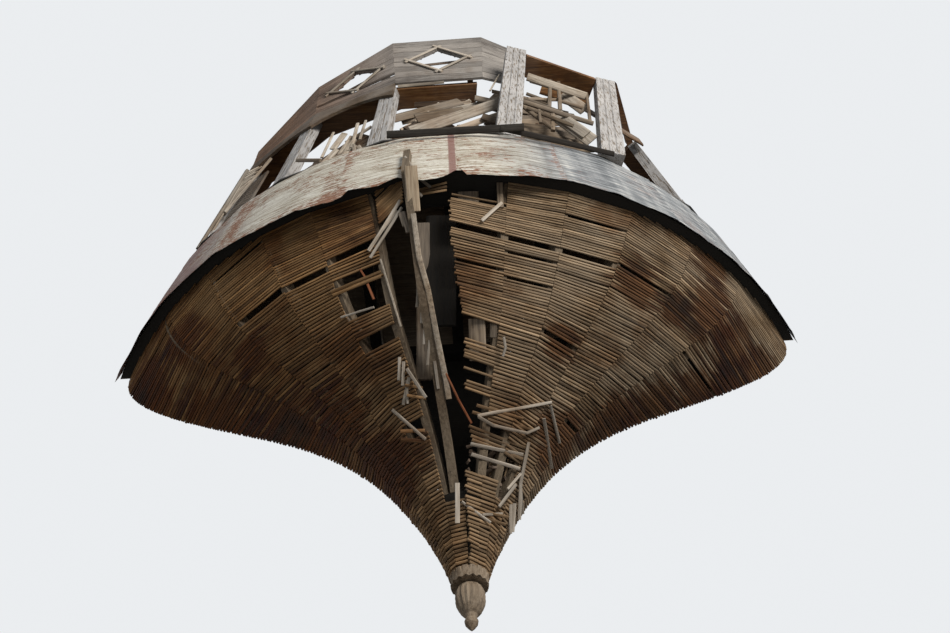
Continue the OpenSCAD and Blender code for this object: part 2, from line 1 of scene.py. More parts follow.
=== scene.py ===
# %% [markdown]
# A wall-hung timber bay, seen from below
# The hull is an ogee skin of thin laths on curved ribs, which ends in a turned pendant. Above
# come a breast clad in metal sheets, a storey of open windows and a flared cove of boards. The
# frame holds every solid at its real size. This script gives each one its surface, and swaps
# the plain skins for single laths, boards and sheets.

# %% Load the frame
import math
import random
import bpy
from mathutils import Matrix, Vector


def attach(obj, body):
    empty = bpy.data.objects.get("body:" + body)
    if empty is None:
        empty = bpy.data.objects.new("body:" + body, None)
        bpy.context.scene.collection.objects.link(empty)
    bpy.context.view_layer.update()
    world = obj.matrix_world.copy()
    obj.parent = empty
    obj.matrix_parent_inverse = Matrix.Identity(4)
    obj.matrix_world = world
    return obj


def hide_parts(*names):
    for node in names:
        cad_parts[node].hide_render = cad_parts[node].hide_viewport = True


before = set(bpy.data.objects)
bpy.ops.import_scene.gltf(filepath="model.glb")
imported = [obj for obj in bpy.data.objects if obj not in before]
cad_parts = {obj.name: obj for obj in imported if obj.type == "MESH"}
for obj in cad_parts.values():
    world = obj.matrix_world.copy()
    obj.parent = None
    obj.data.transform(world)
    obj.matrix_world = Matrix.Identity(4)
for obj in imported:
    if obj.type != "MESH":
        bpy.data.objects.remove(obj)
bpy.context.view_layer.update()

# %% [markdown]
# The camera
# The view is steeply up, so the upright lines lean together. The focal length is given in pixels
# of the photograph and turned into a lens for a 36 mm sensor, and three turns point the camera:
# up, aside and a small roll.

# %% Camera
PHOTO_W, FOCAL_PX, SENSOR_MM = 950, 750, 36
LOOK_UP, YAW, ROLL = math.radians(60.2), math.radians(2), math.radians(-5)
CAM_AT = Vector((0.036, -3.0, -4.62))


def new_object(name, data):
    made = bpy.data.objects.new(name, data)
    bpy.context.collection.objects.link(made)
    return made


cam_data = bpy.data.cameras.new("camera")
cam_data.sensor_width = SENSOR_MM
cam_data.lens = FOCAL_PX * SENSOR_MM / PHOTO_W
cam = new_object("camera", cam_data)
turn = (Matrix.Rotation(-YAW, 4, "Z") @ Matrix.Rotation(math.pi / 2 + LOOK_UP, 4, "X")
        @ Matrix.Rotation(ROLL, 4, "Z"))
cam.matrix_world = Matrix.Translation(CAM_AT) @ turn
bpy.context.scene.camera = cam
print("lens", round(cam_data.lens, 2), "mm")

# %% [markdown]
# Node trees as plain Python
# A node tree is easier to read as arithmetic. `Num` wraps one output socket, and each operator
# adds a Math node. `Nodes` makes any other node of a tree in one call: its settings are set
# first, then the values or links of its sockets.

# %% Num and Nodes


class Num:
    def __init__(self, owner, socket):
        self.owner, self.socket = owner, socket

    def math(self, operation, a, b=0.0):
        return self.owner.node("ShaderNodeMath", {"operation": operation}, {0: a, 1: b})

    def __add__(self, other):
        return self.math("ADD", self, other)

    def __radd__(self, other):
        return self.math("ADD", other, self)

    def __sub__(self, other):
        return self.math("SUBTRACT", self, other)

    def __rsub__(self, other):
        return self.math("SUBTRACT", other, self)

    def __mul__(self, other):
        return self.math("MULTIPLY", self, other)

    def __rmul__(self, other):
        return self.math("MULTIPLY", other, self)

    def __truediv__(self, other):
        return self.math("DIVIDE", self, other)

    def span(self, low, high, to_low=0.0, to_high=1.0):
        """Map low..high to to_low..to_high, with smooth ends and nothing outside."""
        return self.owner.node("ShaderNodeMapRange", {"interpolation_type": "SMOOTHSTEP"},
                               {0: self, 1: low, 2: high, 3: to_low, 4: to_high})


class Nodes:
    def __init__(self, tree):
        self.tree = tree

    def node(self, kind, settings=None, sockets=None, out=0):
        made = self.tree.nodes.new(kind)
        for key, value in (settings or {}).items():
            if key == "stops":
                ramp = made.color_ramp.elements
                while len(ramp) < len(value):
                    ramp.new(0.5)
                for stop, (place, colour) in zip(ramp, value):
                    stop.position = place
                    stop.color = (*colour, 1)
            else:
                setattr(made, key, value)
        for key, value in (sockets or {}).items():
            self.feed(made.inputs[key], value)
        return Num(self, made.outputs[out])

    def feed(self, socket, value):
        if isinstance(value, Num):
            self.tree.links.new(value.socket, socket)
        elif isinstance(value, tuple) and socket.type == "RGBA":
            socket.default_value = (*value, 1)
        else:
            socket.default_value = value

    def vector(self, operation, a, b, out=0):
        return self.node("ShaderNodeVectorMath", {"operation": operation}, {0: a, 1: b}, out)

    def two_lights(self, dim, seen):
        """The first shader lights the bay, the second is for the camera and for reflections."""
        camera, glossy, through = [self.node("ShaderNodeLightPath", out="Is %s Ray" % kind)
                                   for kind in ("Camera", "Glossy", "Transmission")]
        either = camera.math("MAXIMUM", camera.math("MAXIMUM", camera, glossy), through)
        return self.node("ShaderNodeMixShader", {}, {0: either, 1: dim, 2: seen})


print("operators", sum(name.startswith("__") and name.endswith("__") for name in vars(Num)))

# %% [markdown]
# Paint
# `Paint` owns one material. It adds what the recipes share: where a pattern lies, noise, ramps,
# blends, and the links to the shader.

# %% Paint


class Paint(Nodes):
    def __init__(self, name, rough, metallic=0.0):
        self.material = bpy.data.materials.new(name)
        self.material.use_nodes = True
        super().__init__(self.material.node_tree)
        self.shader = self.tree.nodes["Principled BSDF"]
        for key, value in (("Roughness", rough), ("Metallic", metallic), ("Specular IOR Level", 0.25)):
            self.shader.inputs[key].default_value = value

    def where(self, stretch=(1, 1, 1)):
        """Object coordinates, stretched so that a pattern runs along one axis."""
        return self.vector("MULTIPLY", self.node("ShaderNodeTexCoord", out=3), stretch)

    def grain(self, stretch=(1, 1, 1)):
        """The board's own coordinates: x along it, y and z across, moved for each board."""
        place = self.node("ShaderNodeAttribute", {"attribute_name": "grain"}, out=1)
        return self.vector("MULTIPLY", place, stretch)

    def parts(self, vector):
        split = self.node("ShaderNodeSeparateXYZ", {}, {0: vector}).socket.node
        return [Num(self, socket) for socket in split.outputs]

    def noise(self, vector, scale, detail=4.0, rough=0.55):
        return self.node("ShaderNodeTexNoise", {},
                         {"Vector": vector, "Scale": scale, "Detail": detail, "Roughness": rough})

    def ramp(self, value, *stops):
        return self.node("ShaderNodeValToRGB", {"stops": stops}, {0: value})

    def blend(self, factor, a, b, how="MIX"):
        return self.node("ShaderNodeMix", {"data_type": "RGBA", "blend_type": how},
                         {0: factor, 6: a, 7: b}, out=2)

    def times(self, colour, by):
        return self.blend(1.0, colour, by, "MULTIPLY")

    def finish(self, colour, height=None, deep=0.002, rough=None):
        self.feed(self.shader.inputs["Base Color"], colour)
        if rough is not None:
            self.feed(self.shader.inputs["Roughness"], rough)
        if height is not None:
            bump = self.node("ShaderNodeBump", {}, {"Strength": 1.0, "Distance": deep, "Height": height})
            self.feed(self.shader.inputs["Normal"], bump)
        return self.material


def stretched(axis, k):
    return tuple(k if i == axis else 1 for i in range(3))


def scaled(colour, by):
    return tuple(c * by for c in colour)


print("fibres along z are sampled at", stretched(2, 0.05))

# %% [markdown]
# Floor and light
# Old timber shows its relief when the light grazes it, so a broad lamp stands low on one side,
# a weaker one on the other. World and floor are pale to the camera and to reflections, and
# dimmer where they light the bay: Light Path tells the two apart.

# %% Floor, world and lamps
FLOOR_Z, FLOOR_HALF = -6.2, 40.0
FLOOR_DIM, FLOOR_PALE, FLOOR_GLOW = (0.22, 0.21, 0.20), (0.80, 0.79, 0.77), 0.42
SKY_DIM, SKY_STRENGTH, SKY_SEEN = (0.86, 0.93, 1.0), 0.30, (0.83, 0.85, 0.87)
LAMP_SIZE = 4.0


def plain_mesh(name, verts, faces):
    mesh = bpy.data.meshes.new(name)
    mesh.from_pydata([tuple(v) for v in verts], [], faces)
    mesh.update()
    return mesh


floor = new_object("floor", plain_mesh("floor", [
    (x * FLOOR_HALF, y * FLOOR_HALF, FLOOR_Z) for x, y in ((-1, -1), (1, -1), (1, 1), (-1, 1))],
    [(0, 1, 2, 3)]))
paint = Paint("pale floor", rough=0.9)
floor.data.materials.append(paint.finish(FLOOR_DIM))
pale = paint.node("ShaderNodeBsdfPrincipled", {}, {
    "Base Color": FLOOR_PALE, "Roughness": 0.9, "Emission Color": FLOOR_PALE,
    "Emission Strength": FLOOR_GLOW})
paint.feed(paint.tree.nodes["Material Output"].inputs["Surface"],
           paint.two_lights(Num(paint, paint.shader.outputs[0]), pale))

world = bpy.data.worlds.new("sky")
bpy.context.scene.world = world
world.use_nodes = True
sky = Nodes(world.node_tree)
dim = sky.tree.nodes["Background"]
sky.feed(dim.inputs["Color"], SKY_DIM)
sky.feed(dim.inputs["Strength"], SKY_STRENGTH)
sky.feed(sky.tree.nodes["World Output"].inputs["Surface"], sky.two_lights(
    Num(sky, dim.outputs[0]), sky.node("ShaderNodeBackground", {}, {"Color": SKY_SEEN})))


def lamp(name, place, aim, watts, colour):
    data = bpy.data.lights.new(name, "AREA")
    data.size, data.energy, data.color = LAMP_SIZE, watts, colour
    made = new_object(name, data)
    made.location = place
    made.rotation_euler = (Vector(aim) - Vector(place)).to_track_quat("-Z", "Y").to_euler()


lamp("key", (5.5, -8.5, 1.2), (0, -0.8, 0), 1080, (1.0, 0.96, 0.9))
lamp("side", (-7.0, -6.0, -2.5), (0, -0.8, -0.5), 90, (0.92, 0.96, 1.0))
bpy.context.scene.view_settings.view_transform = "Standard"

# %% [markdown]
# Weathered timber
# Every board shows the same things: fibres along its length, darker soft bands, drying cracks,
# and a silver skin that sun and rain leave. Only their amounts and tones differ, so one recipe
# with arguments makes them all. Boards built here carry a `grain` attribute; solids of the
# frame read Object coordinates, stretched along the axis that their fibres follow.

# %% Timber recipe
WARM = (1, 0.97, 0.93)


def timber(name, dark, mid, light, along=None, stain=0.5, crack=0.5, grey=(0.42, 0.40, 0.38),
           silver=0.3, painted_shade=None, painted_shade_span=(0.9, -0.9), stains=(), tones=(0.68, 1.28), painted_shade_below_rim=False):
    p = Paint(name, rough=0.88)

    def at(k):
        return p.grain((k, 1, 1)) if along is None else p.where(stretched(along, k))
    here = p.where()
    shade = (p.node("ShaderNodeAttribute", {"attribute_name": "tint"}, out=2) if along is None
             else p.noise(at(0.15), 9, 1))
    gap = p.noise(at(0.025), 130, 2).span(0.36, 0.30)
    patch = p.noise(here, 1.7, 4)
    wash = p.noise(here, 1.15, 5, 0.6).span(0.47, 0.59)
    tone = p.noise(at(0.05), 70, 3) * 0.55 + p.noise(at(0.03), 420, 3, 0.6) * 0.45
    colour = p.ramp(tone, (0.32, dark), (0.5, mid), (0.68, light))
    colour = p.blend(patch.span(0.62, 0.40) * silver, colour, grey)
    colour = p.times(colour, p.ramp(shade, (0.0, scaled(WARM, tones[0])), (0.5, (0.95, 0.93, 0.9)),
                                    (1.0, scaled(WARM, tones[1]))))
    if stains:
        edge = p.noise(at(0.10), 40, 3) * 0.6 + p.noise(here, 5, 3) * 0.4 + (shade - 0.5) * 0.22
    for x, y, z, size in stains:
        far = p.vector("DISTANCE", here, (x, y, z), out=1)
        blot = (far / size + (edge - 0.5) * 2.6).span(1.2, 0.6)
        colour = p.blend(blot * 0.9, colour, p.times(colour, (0.34, 0.18, 0.075)))
    colour = p.blend(wash * stain * 0.8, colour, p.times(colour, (0.46, 0.28, 0.13)))
    colour = p.blend(patch.span(0.54, 0.72) * stain, colour, scaled(dark, 0.5))
    colour = p.blend(gap * crack, colour, scaled(dark, 0.25))
    # Painted shade: in front of the wall and below rim height the colour falls to near black, for the
    # hull's hollow and the ledge under the sheets.
    if painted_shade_below_rim:
        _, y, z = p.parts(here)
        outside_hollow = y.math("MAXIMUM", y.span(-0.012, -0.003), z.span(0.06, 0.12))
        colour = p.blend(outside_hollow, p.times(colour, (0.035, 0.035, 0.03)), colour)
    # Painted shade with a warm rust-brown cast: towards the left the colour turns darker and warmer.
    if painted_shade:
        colour = p.blend((p.parts(here)[0] + wash * 0.3).span(*painted_shade_span), colour,
                         p.times(colour, painted_shade))
    return p.finish(colour, tone - gap * (1.4 * crack), 0.003)


# Dark brown stains on the laths: a place and a size in metres.
LATH_STAINS = [
    (1.16, -0.82, -0.50, 0.20), (1.40, -0.66, -0.54, 0.16), (1.68, -0.50, -0.40, 0.26),
    (1.84, -0.29, -0.46, 0.24), (1.20, -0.06, -0.84, 0.26), (0.94, -0.08, -0.96, 0.26),
    (1.57, -0.02, -0.69, 0.26), (1.80, -0.02, -0.60, 0.22), (0.61, -0.70, -0.95, 0.13),
    (2.06, -0.05, -0.43, 0.20), (1.75, -0.70, -0.06, 0.20), (0.56, -0.21, -1.24, 0.22),
    (-1.84, -0.46, -0.33, 0.22), (-1.51, -0.02, -0.71, 0.40), (-1.01, -0.08, -0.93, 0.40),
    (-0.71, -0.32, -1.07, 0.24), (-0.41, -0.21, -1.41, 0.26), (-2.12, -0.09, -0.36, 0.34),
    (-1.30, -0.60, -0.70, 0.18),
]
print("timber recipe,", len(LATH_STAINS), "stains")

# %% [markdown]
# The timbers
# Each finish is a dark, a middle and a light tone, then what sets it apart.

# %% Timber finishes
lath_paint = timber("weathered lath", (0.020, 0.011, 0.005), (0.185, 0.121, 0.065), (0.50, 0.385, 0.26),
                    grey=(0.36, 0.305, 0.235), silver=0.4, stain=0.9, painted_shade=(0.95, 0.72, 0.46),
                    stains=LATH_STAINS, tones=(0.48, 1.42))
board_paint = timber("grey cove board", (0.040, 0.032, 0.028), (0.18, 0.165, 0.155), (0.40, 0.385, 0.37),
                     silver=0.35, crack=0.9, painted_shade=(0.85, 0.55, 0.38), painted_shade_span=(-0.2, -1.7),
                     tones=(0.55, 1.25))
stick_paint = timber("bleached stick", (0.14, 0.11, 0.08), (0.40, 0.35, 0.29), (0.62, 0.58, 0.52))
tan_paint = timber("split tan plank", (0.16, 0.10, 0.05), (0.46, 0.36, 0.25), (0.66, 0.56, 0.43),
                   silver=0.1, stain=0.2)
plank_paint = timber("grey inner plank", (0.04, 0.028, 0.018), (0.16, 0.12, 0.083),
                     (0.30, 0.245, 0.18), silver=0.2)
# Near-black boards: painted shade, for the hollow inside the split and behind the cove's joints.
shade_black_paint = timber("near-black shade board", (0.001, 0.001, 0.001), (0.006, 0.004, 0.002),
                    (0.013, 0.009, 0.005), grey=(0.008, 0.006, 0.004), silver=0.2)
wreck_paint = timber("broken brown board", (0.010, 0.006, 0.003), (0.075, 0.042, 0.022),
                     (0.22, 0.15, 0.09), tones=(0.4, 1.6), silver=0.15)
dark_strip_paint = timber("dark sill strip", (0.008, 0.007, 0.006), (0.03, 0.027, 0.024),
                          (0.07, 0.062, 0.055), grey=(0.05, 0.045, 0.04))
rod_paint = timber("rust brown rod", (0.05, 0.015, 0.006), (0.20, 0.07, 0.03), (0.34, 0.15, 0.08),
                   silver=0)
rubble_paint = timber("rubble brown", (0.02, 0.01, 0.006), (0.10, 0.055, 0.03), (0.24, 0.16, 0.10),
                      silver=0.2)
rib_paint = timber("rib timber", (0.03, 0.02, 0.012), (0.11, 0.08, 0.052), (0.22, 0.175, 0.125),
                   along=2, grey=(0.2, 0.17, 0.13))
loose_paint = timber("loose rib timber", (0.07, 0.05, 0.033), (0.30, 0.245, 0.18), (0.50, 0.44, 0.36),
                     along=2)
finial_paint = timber("turned finial timber", (0.045, 0.027, 0.015), (0.22, 0.16, 0.105),
                      (0.42, 0.345, 0.265), along=2, grey=(0.30, 0.265, 0.225), silver=0.35,
                      tones=(0.6, 1.3))
beam_paint = timber("frame timber", (0.03, 0.02, 0.012), (0.10, 0.07, 0.045), (0.20, 0.15, 0.10),
                    along=0)
# Frame timber, painted near black below the rim in front of the wall: painted shade.
dark_paint = timber("frame timber with painted shade below the rim", (0.05, 0.033, 0.02), (0.14, 0.10, 0.066), (0.25, 0.20, 0.14),
                    along=0, grey=(0.24, 0.21, 0.17), painted_shade_below_rim=True)
head_paint = timber("ochre head timber", (0.035, 0.014, 0.004), (0.15, 0.065, 0.02),
                    (0.30, 0.17, 0.07), along=0, silver=0.1)
print("timbers, from", lath_paint.name, "to", head_paint.name)

# %% [markdown]
# Flaking paint
# The posts were painted pale grey. The paint has cracked along the fibres and comes off in
# flakes, so the recipe is two skins: the timber below, and a paint layer where a stretched
# noise stays under a limit. The paint's edge makes a small step in the bump.

# %% Flaking paint on the posts


def flaking(name, coat, bare, along, cover):
    p = Paint(name, rough=0.8)

    def fibres(k, *noise):
        return p.noise(p.where(stretched(along, k)), *noise)
    lost = fibres(0.05, 85, 5, 0.65).span(cover - 0.03, cover + 0.03)
    fibre = fibres(0.03, 300, 3)
    crack = fibres(0.02, 110, 2).span(0.37, 0.31)
    grime = p.noise(p.where(), 3.5, 5)
    layer = p.blend(grime.span(0.35, 0.75), coat, scaled(coat, 0.72))
    wood = p.ramp(fibre, (0.3, scaled(bare, 0.45)), (0.7, scaled(bare, 1.5)))
    colour = p.blend(crack * 0.8, p.blend(lost, layer, wood), (0.05, 0.045, 0.04))
    return p.finish(colour, 0.5 * fibre + (1 - lost) * 0.8 - crack)


post_paint = flaking("flaking pale paint", (0.43, 0.415, 0.405), (0.20, 0.165, 0.13), 2, 0.56)
sill_paint = flaking("flaking dark paint", (0.035, 0.033, 0.03), (0.12, 0.10, 0.085), 0, 0.6)
print("painted", post_paint.name, sill_paint.name)

# %% [markdown]
# Painted sheet metal
# Thin sheets, once painted cream. Sun has bleached them on the right to a blue grey, and rust
# runs along the seams and takes over on the far left. The sheets carry a `grain` attribute
# whose x is the distance round the bay and whose y is the height, so streaks follow the sheet.

# %% Sheet metal


def sheet_metal(name):
    p = Paint(name, rough=0.62, metallic=0.1)
    round_x, height, _ = p.parts(p.grain())
    streak = p.noise(p.grain((0.10, 1, 1)), 40, 6, 0.62)
    flake = p.noise(p.grain((0.25, 1, 1)), 70, 5, 0.62)
    fine = p.noise(p.grain((0.12, 1, 1)), 300, 4, 0.65)
    cloud = p.noise(p.grain(), 2.4, 4)
    runs = p.noise(p.grain((1, 0.06, 1)), 10, 5)

    def near(centre, half):
        away = round_x - centre
        return away.math("ABSOLUTE", away).span(half, half * 0.6)
    cream = p.ramp(streak * 0.55 + fine * 0.45, (0.37, (0.09, 0.06, 0.04)), (0.445, (0.34, 0.285, 0.21)),
                   (0.53, (0.57, 0.54, 0.465)), (0.66, (0.76, 0.75, 0.70)))
    blue = p.ramp(streak * 0.72 + runs * 0.28, (0.38, (0.045, 0.052, 0.058)), (0.48, (0.15, 0.16, 0.17)),
                  (0.56, (0.28, 0.29, 0.295)), (0.66, (0.55, 0.54, 0.51)))
    red = p.ramp(streak * 0.6 + fine * 0.4, (0.36, (0.05, 0.022, 0.018)), (0.5, (0.145, 0.07, 0.055)),
                 (0.66, (0.30, 0.20, 0.165)))
    colour = p.blend((round_x + cloud * 0.6).span(0.40, 1.15), cream, blue)
    colour = p.blend((round_x + cloud * 1.3).span(-0.75, -1.45), colour, red)
    low_edge = height.span(0.10, -0.10) * 0.05
    seams = near(-0.76, 0.11) + near(-1.546, 0.12) + near(0.76, 0.03)
    rust = (flake * 0.62 + cloud * 0.38 + low_edge + seams * 0.05).span(0.545, 0.575)
    rust = rust * (round_x + cloud * 0.6).span(1.3, 0.9, 0.25, 1.0)
    tone = p.ramp(fine, (0.32, (0.055, 0.016, 0.008)), (0.52, (0.21, 0.07, 0.028)),
                  (0.72, (0.42, 0.21, 0.11)))
    colour = p.blend(rust * 0.85, colour, tone)
    strip = p.ramp(fine, (0.3, (0.11, 0.045, 0.04)), (0.7, (0.30, 0.15, 0.12)))
    colour = p.blend(near(0.030, 0.030) * 0.9, colour, strip)
    return p.finish(colour, streak * 0.5 + fine * 0.5 - rust * 0.2, 0.004, rough=0.58 + rust * 0.3)


metal_paint = sheet_metal("painted sheet metal")
print("metal", metal_paint.name)

# %% [markdown]
# The hull's shape
# The skin is the same surface as in the solids: two ogee curves, one at the side and one at the
# front, give the reach of each level. A level section is the circular arc through both side
# points and the front point. Between two rows the skin is straight.

# %% Hull surface
HULL_HALF_W, HULL_OUT, HULL_DROP = 2.400, 1.370, 2.080
SIDE_CURVE = [(1, 0), (0.99, 0.19), (0.765, 0.28), (0.53, 0.39), (0.265, 0.51), (0.138, 0.69),
              (0.03, 1)]
FRONT_CURVE = [(1, 0), (0.88, 0.11), (0.805, 0.30), (0.698, 0.43), (0.607, 0.51), (0.262, 0.67),
               (0.12, 1)]
ROWS = math.ceil(HULL_DROP / 0.065)
ROW_H = HULL_DROP / ROWS
HALVINGS = 26
SLOPE_STEP = 0.004


def bezier(p, k, t, i):
    s = 1 - t
    return (s ** 3 * p[k][i] + 3 * s * s * t * p[k + 1][i] + 3 * s * t * t * p[k + 2][i]
            + t ** 3 * p[k + 3][i])


def share_at(curve, depth_share):
    k = 0 if depth_share < curve[3][1] else 3
    low, high = 0.0, 1.0
    for _ in range(HALVINGS):
        t = (low + high) / 2
        if bezier(curve, k, t, 1) < depth_share:
            low = t
        else:
            high = t
    return bezier(curve, k, (low + high) / 2, 0)


def reach(bearing, depth):
    wide = HULL_HALF_W * share_at(SIDE_CURVE, depth / HULL_DROP)
    out = HULL_OUT * share_at(FRONT_CURVE, depth / HULL_DROP)
    radius = (wide * wide + out * out) / (2 * out)
    c = (radius - out) * math.cos(math.radians(bearing))
    return -c + math.sqrt(c * c - (radius - out) ** 2 + radius ** 2)


def slope_at(bearing, depth):
    low, high = max(0, depth - SLOPE_STEP), min(HULL_DROP, depth + SLOPE_STEP)
    return math.atan((reach(bearing, low) - reach(bearing, high)) / (high - low))


row_points = {}


def row_point(bearing, k, inset):
    key = (bearing, k, round(inset, 5))
    if key not in row_points:
        depth = k * ROW_H
        slope = slope_at(bearing, depth)
        s = reach(bearing, depth) - inset * math.cos(slope)
        b = math.radians(bearing)
        row_points[key] = Vector((s * math.sin(b), -s * math.cos(b),
                                  -depth + (inset * math.sin(slope) if k > 0 else 0)))
    return row_points[key]


def hull_point(bearing, depth, inset=0.0):
    if bearing < 0:
        p = hull_point(-bearing, depth, inset)
        return Vector((-p.x, p.y, p.z))
    k = min(ROWS - 1, int(depth / ROW_H))
    return row_point(bearing, k, inset).lerp(row_point(bearing, k + 1, inset), depth / ROW_H - k)


def hull_normal(bearing, depth):
    a, b = slope_at(abs(bearing), depth), math.radians(bearing)
    return Vector((math.cos(a) * math.sin(b), -math.cos(a) * math.cos(b), -math.sin(a)))


print("front reach", round(reach(0, 1.0), 3), "side reach", round(reach(90, 1.0), 3))

# %% [markdown]
# One tree for every lath, stick and plank
# Hundreds of laths differ only in place, size and tone. So a mesh of loose points carries
# those facts as attributes, and one Geometry Nodes tree puts a rounded bar on each point,
# stretches it to size, bends it a little and realizes the lot. The bar's own coordinates are
# kept as `grain`, moved for each tint, and the shader's fibres then run along each lath.

# %% Bar tree
GRAIN_STEP = 97.0


def bar_tree():
    tree = bpy.data.node_groups.new("bars on points", "GeometryNodeTree")
    for name, kind, way in (("Points", "Geometry", "INPUT"), ("Cuts", "Int", "INPUT"),
                            ("Rounding", "Float", "INPUT"), ("Bend", "Float", "INPUT"),
                            ("Finish", "Material", "INPUT"), ("Bars", "Geometry", "OUTPUT")):
        tree.interface.new_socket(name, in_out=way, socket_type="NodeSocket" + kind)
    g = Nodes(tree)

    def given(name):
        return g.node("NodeGroupInput", out=name)

    def named(name, kind="FLOAT_VECTOR"):
        return g.node("GeometryNodeInputNamedAttribute", {"data_type": kind}, {"Name": name},
                      "Attribute")

    def stored(geometry, name, value):
        return g.node("GeometryNodeStoreNamedAttribute",
                      {"data_type": "FLOAT_VECTOR", "domain": "POINT"},
                      {"Geometry": geometry, "Name": name, "Value": value})

    line = g.node("GeometryNodeCurvePrimitiveLine", {}, {"Start": (-0.5, 0, 0), "End": (0.5, 0, 0)})
    line = g.node("GeometryNodeResampleCurve", {}, {"Curve": line, "Count": given("Cuts")})
    square = g.node("GeometryNodeCurvePrimitiveQuadrilateral", {}, {"Width": 1, "Height": 1})
    square = g.node("GeometryNodeFilletCurve", {}, {"Curve": square, "Radius": given("Rounding")})
    bar = g.node("GeometryNodeCurveToMesh", {},
                 {"Curve": line, "Profile Curve": square, "Fill Caps": True})
    turned = g.node("FunctionNodeAxesToRotation", {"primary_axis": "X", "secondary_axis": "Z"},
                    {"Primary Axis": named("axis"), "Secondary Axis": named("out")})
    put = g.node("GeometryNodeInstanceOnPoints", {}, {
        "Points": given("Points"), "Instance": stored(bar, "local", g.node("GeometryNodeInputPosition")),
        "Rotation": turned, "Scale": named("size")})
    real = g.node("GeometryNodeRealizeInstances", {}, {"Geometry": put})
    spread = named("tint", "FLOAT") * GRAIN_STEP
    moved = g.vector("ADD", g.vector("MULTIPLY", named("local"), named("size")),
                     g.node("ShaderNodeCombineXYZ", {}, {0: spread, 1: spread}))
    grain = stored(real, "grain", moved)
    wave = g.node("ShaderNodeTexNoise", {}, {
        "Vector": g.vector("MULTIPLY", named("grain"), (4.0, 1.0, 1.0)), "Scale": 1.0, "Detail": 1.0},
        "Color")
    shift = g.node("ShaderNodeVectorMath", {"operation": "SCALE"}, {
        0: g.vector("SUBTRACT", wave, (0.5, 0.5, 0.5)), "Scale": given("Bend")})
    bent = g.node("GeometryNodeSetPosition", {}, {"Geometry": grain, "Offset": shift})
    coat = g.node("GeometryNodeSetMaterial", {}, {"Geometry": bent, "Material": given("Finish")})
    g.feed(tree.nodes.new("NodeGroupOutput").inputs[0], coat)
    return tree


bars = bar_tree()
print("bar tree", len(bars.nodes), "nodes")

# %% [markdown]
# Filling the tree
# `lay_bars` takes rows: two ends, a width, a thickness, the way the broad side faces and a tint.
# It writes them as point attributes, runs the tree once and keeps the result as a plain mesh.
# `ride` hangs a piece on the bay and hides the solids that it stands for.

# %% Bars


def store(mesh, name, values):
    if isinstance(values[0], float):
        mesh.attributes.new(name, "FLOAT", "POINT").data.foreach_set("value", values)
    else:
        data = mesh.attributes.new(name, "FLOAT_VECTOR", "POINT").data
        data.foreach_set("vector", [c for v in values for c in v])


def ride(name, mesh, finish, slot, *replaced):
    mesh.materials.clear()
    mesh.materials.append(finish)
    piece = new_object(name, mesh)
    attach(piece, "root")
    if replaced:
        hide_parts(*replaced)
    return piece


def settle(source, name, finish, slot, *replaced):
    """Turn an evaluated object into a plain mesh that rides on the bay."""
    ready = source.evaluated_get(bpy.context.evaluated_depsgraph_get())
    mesh = bpy.data.meshes.new_from_object(ready)
    source.modifiers.clear()
    bpy.data.objects.remove(source)
    for extra in ("local", "size", "axis", "out"):
        if extra in mesh.attributes:
            mesh.attributes.remove(mesh.attributes[extra])
    return ride(name, mesh, finish, slot, *replaced)


def lay_bars(name, rows, finish, slot, cuts, bend, rounding=0.18, replaced=()):
    rows = [(Vector(start), Vector(end), *rest) for start, end, *rest in rows]
    mesh = plain_mesh(name, [(row[0] + row[1]) / 2 for row in rows], [])
    store(mesh, "axis", [(row[1] - row[0]).normalized() for row in rows])
    store(mesh, "out", [row[4] for row in rows])
    store(mesh, "size", [((row[1] - row[0]).length, row[2], row[3]) for row in rows])
    store(mesh, "tint", [row[5] for row in rows])
    points = new_object(name + "-points", mesh)
    run = points.modifiers.new("bars", "NODES")
    run.node_group = bars
    facts = {"Cuts": cuts, "Rounding": rounding, "Bend": bend, "Finish": finish}
    for socket in bars.interface.items_tree:
        if socket.name in facts:
            run[socket.identifier] = facts[socket.name]
    piece = settle(points, name, finish, slot, *replaced)
    print(name, len(rows), "bars,", len(piece.data.polygons), "faces")


print("bars take", [s.name for s in bars.interface.items_tree if s.in_out == "INPUT"])

# %% [markdown]
# The laths
# The skin is a stack of level laths, 22 mm from one to the next, nailed to the ribs. Each panel
# between two ribs is one run. Rows step down the slope by an equal distance, so steep and
# shallow stretches are covered alike. Near the split the laths have lifted, which `lifted`
# gives. To the right of the split they have lost their rib: they run straight on past the last
# one that holds them, and end in the air.

# %% Lath tables
PITCH, LATH_H, LATH_T = 0.0215, 0.0150, 0.011
LATH_IN = LATH_T / 2 + 0.001  # a lath's middle, in from the skin
RIM = 0.004  # depth of the highest lath's ends
SAGS, GONE = 0.03, 0.036  # of all laths, those with a fallen end and those that are lost
SAG, END_GAP = 0.007, 0.0008  # how far such an end falls, and how short every end stops
OUTER, SLANT = 45, 0.22  # from this bearing on laths are slanted, by this much at most
LEFT_EDGE, LEFT_RIB = 22, 37
# Bearing whose slope spaces the rows of a panel: the front ones line up with each other.
LEVEL_AT = {1: 40, 2: 40, 3: 40, 4: 56, 5: 72, 6: 84}
BEARINGS = {1: [0, 16, 32, 48, 63, 75, 90], -1: [0, LEFT_EDGE, LEFT_RIB, 50, 64, 75, 90]}
# Bands of laths in a panel: their top and bottom depths.
BANDS = {
    ("right", 2): [(0, 0.445), (0.475, 1.40), (1.62, 2.08)],
    ("right", 3): [(0, 0.445), (0.475, 1.50), (1.70, 2.08)],
    ("right", 4): [(0, 0.445), (0.475, 2.08)],
    ("right", 5): [(0, 2.08)],
    ("left", 1): [(1.74, 2.08)],
    ("left", 2): [(0, 0.42), (0.455, 0.575), (0.625, 0.645), (0.815, 0.925), (0.985, 1.33),
                  (1.40, 2.08)],
    ("left", 3): [(0, 0.465), (0.495, 2.08)],
    ("left", 4): [(0, 0.465), (0.495, 2.08)],
    ("left", 5): [(0, 2.08)],
}
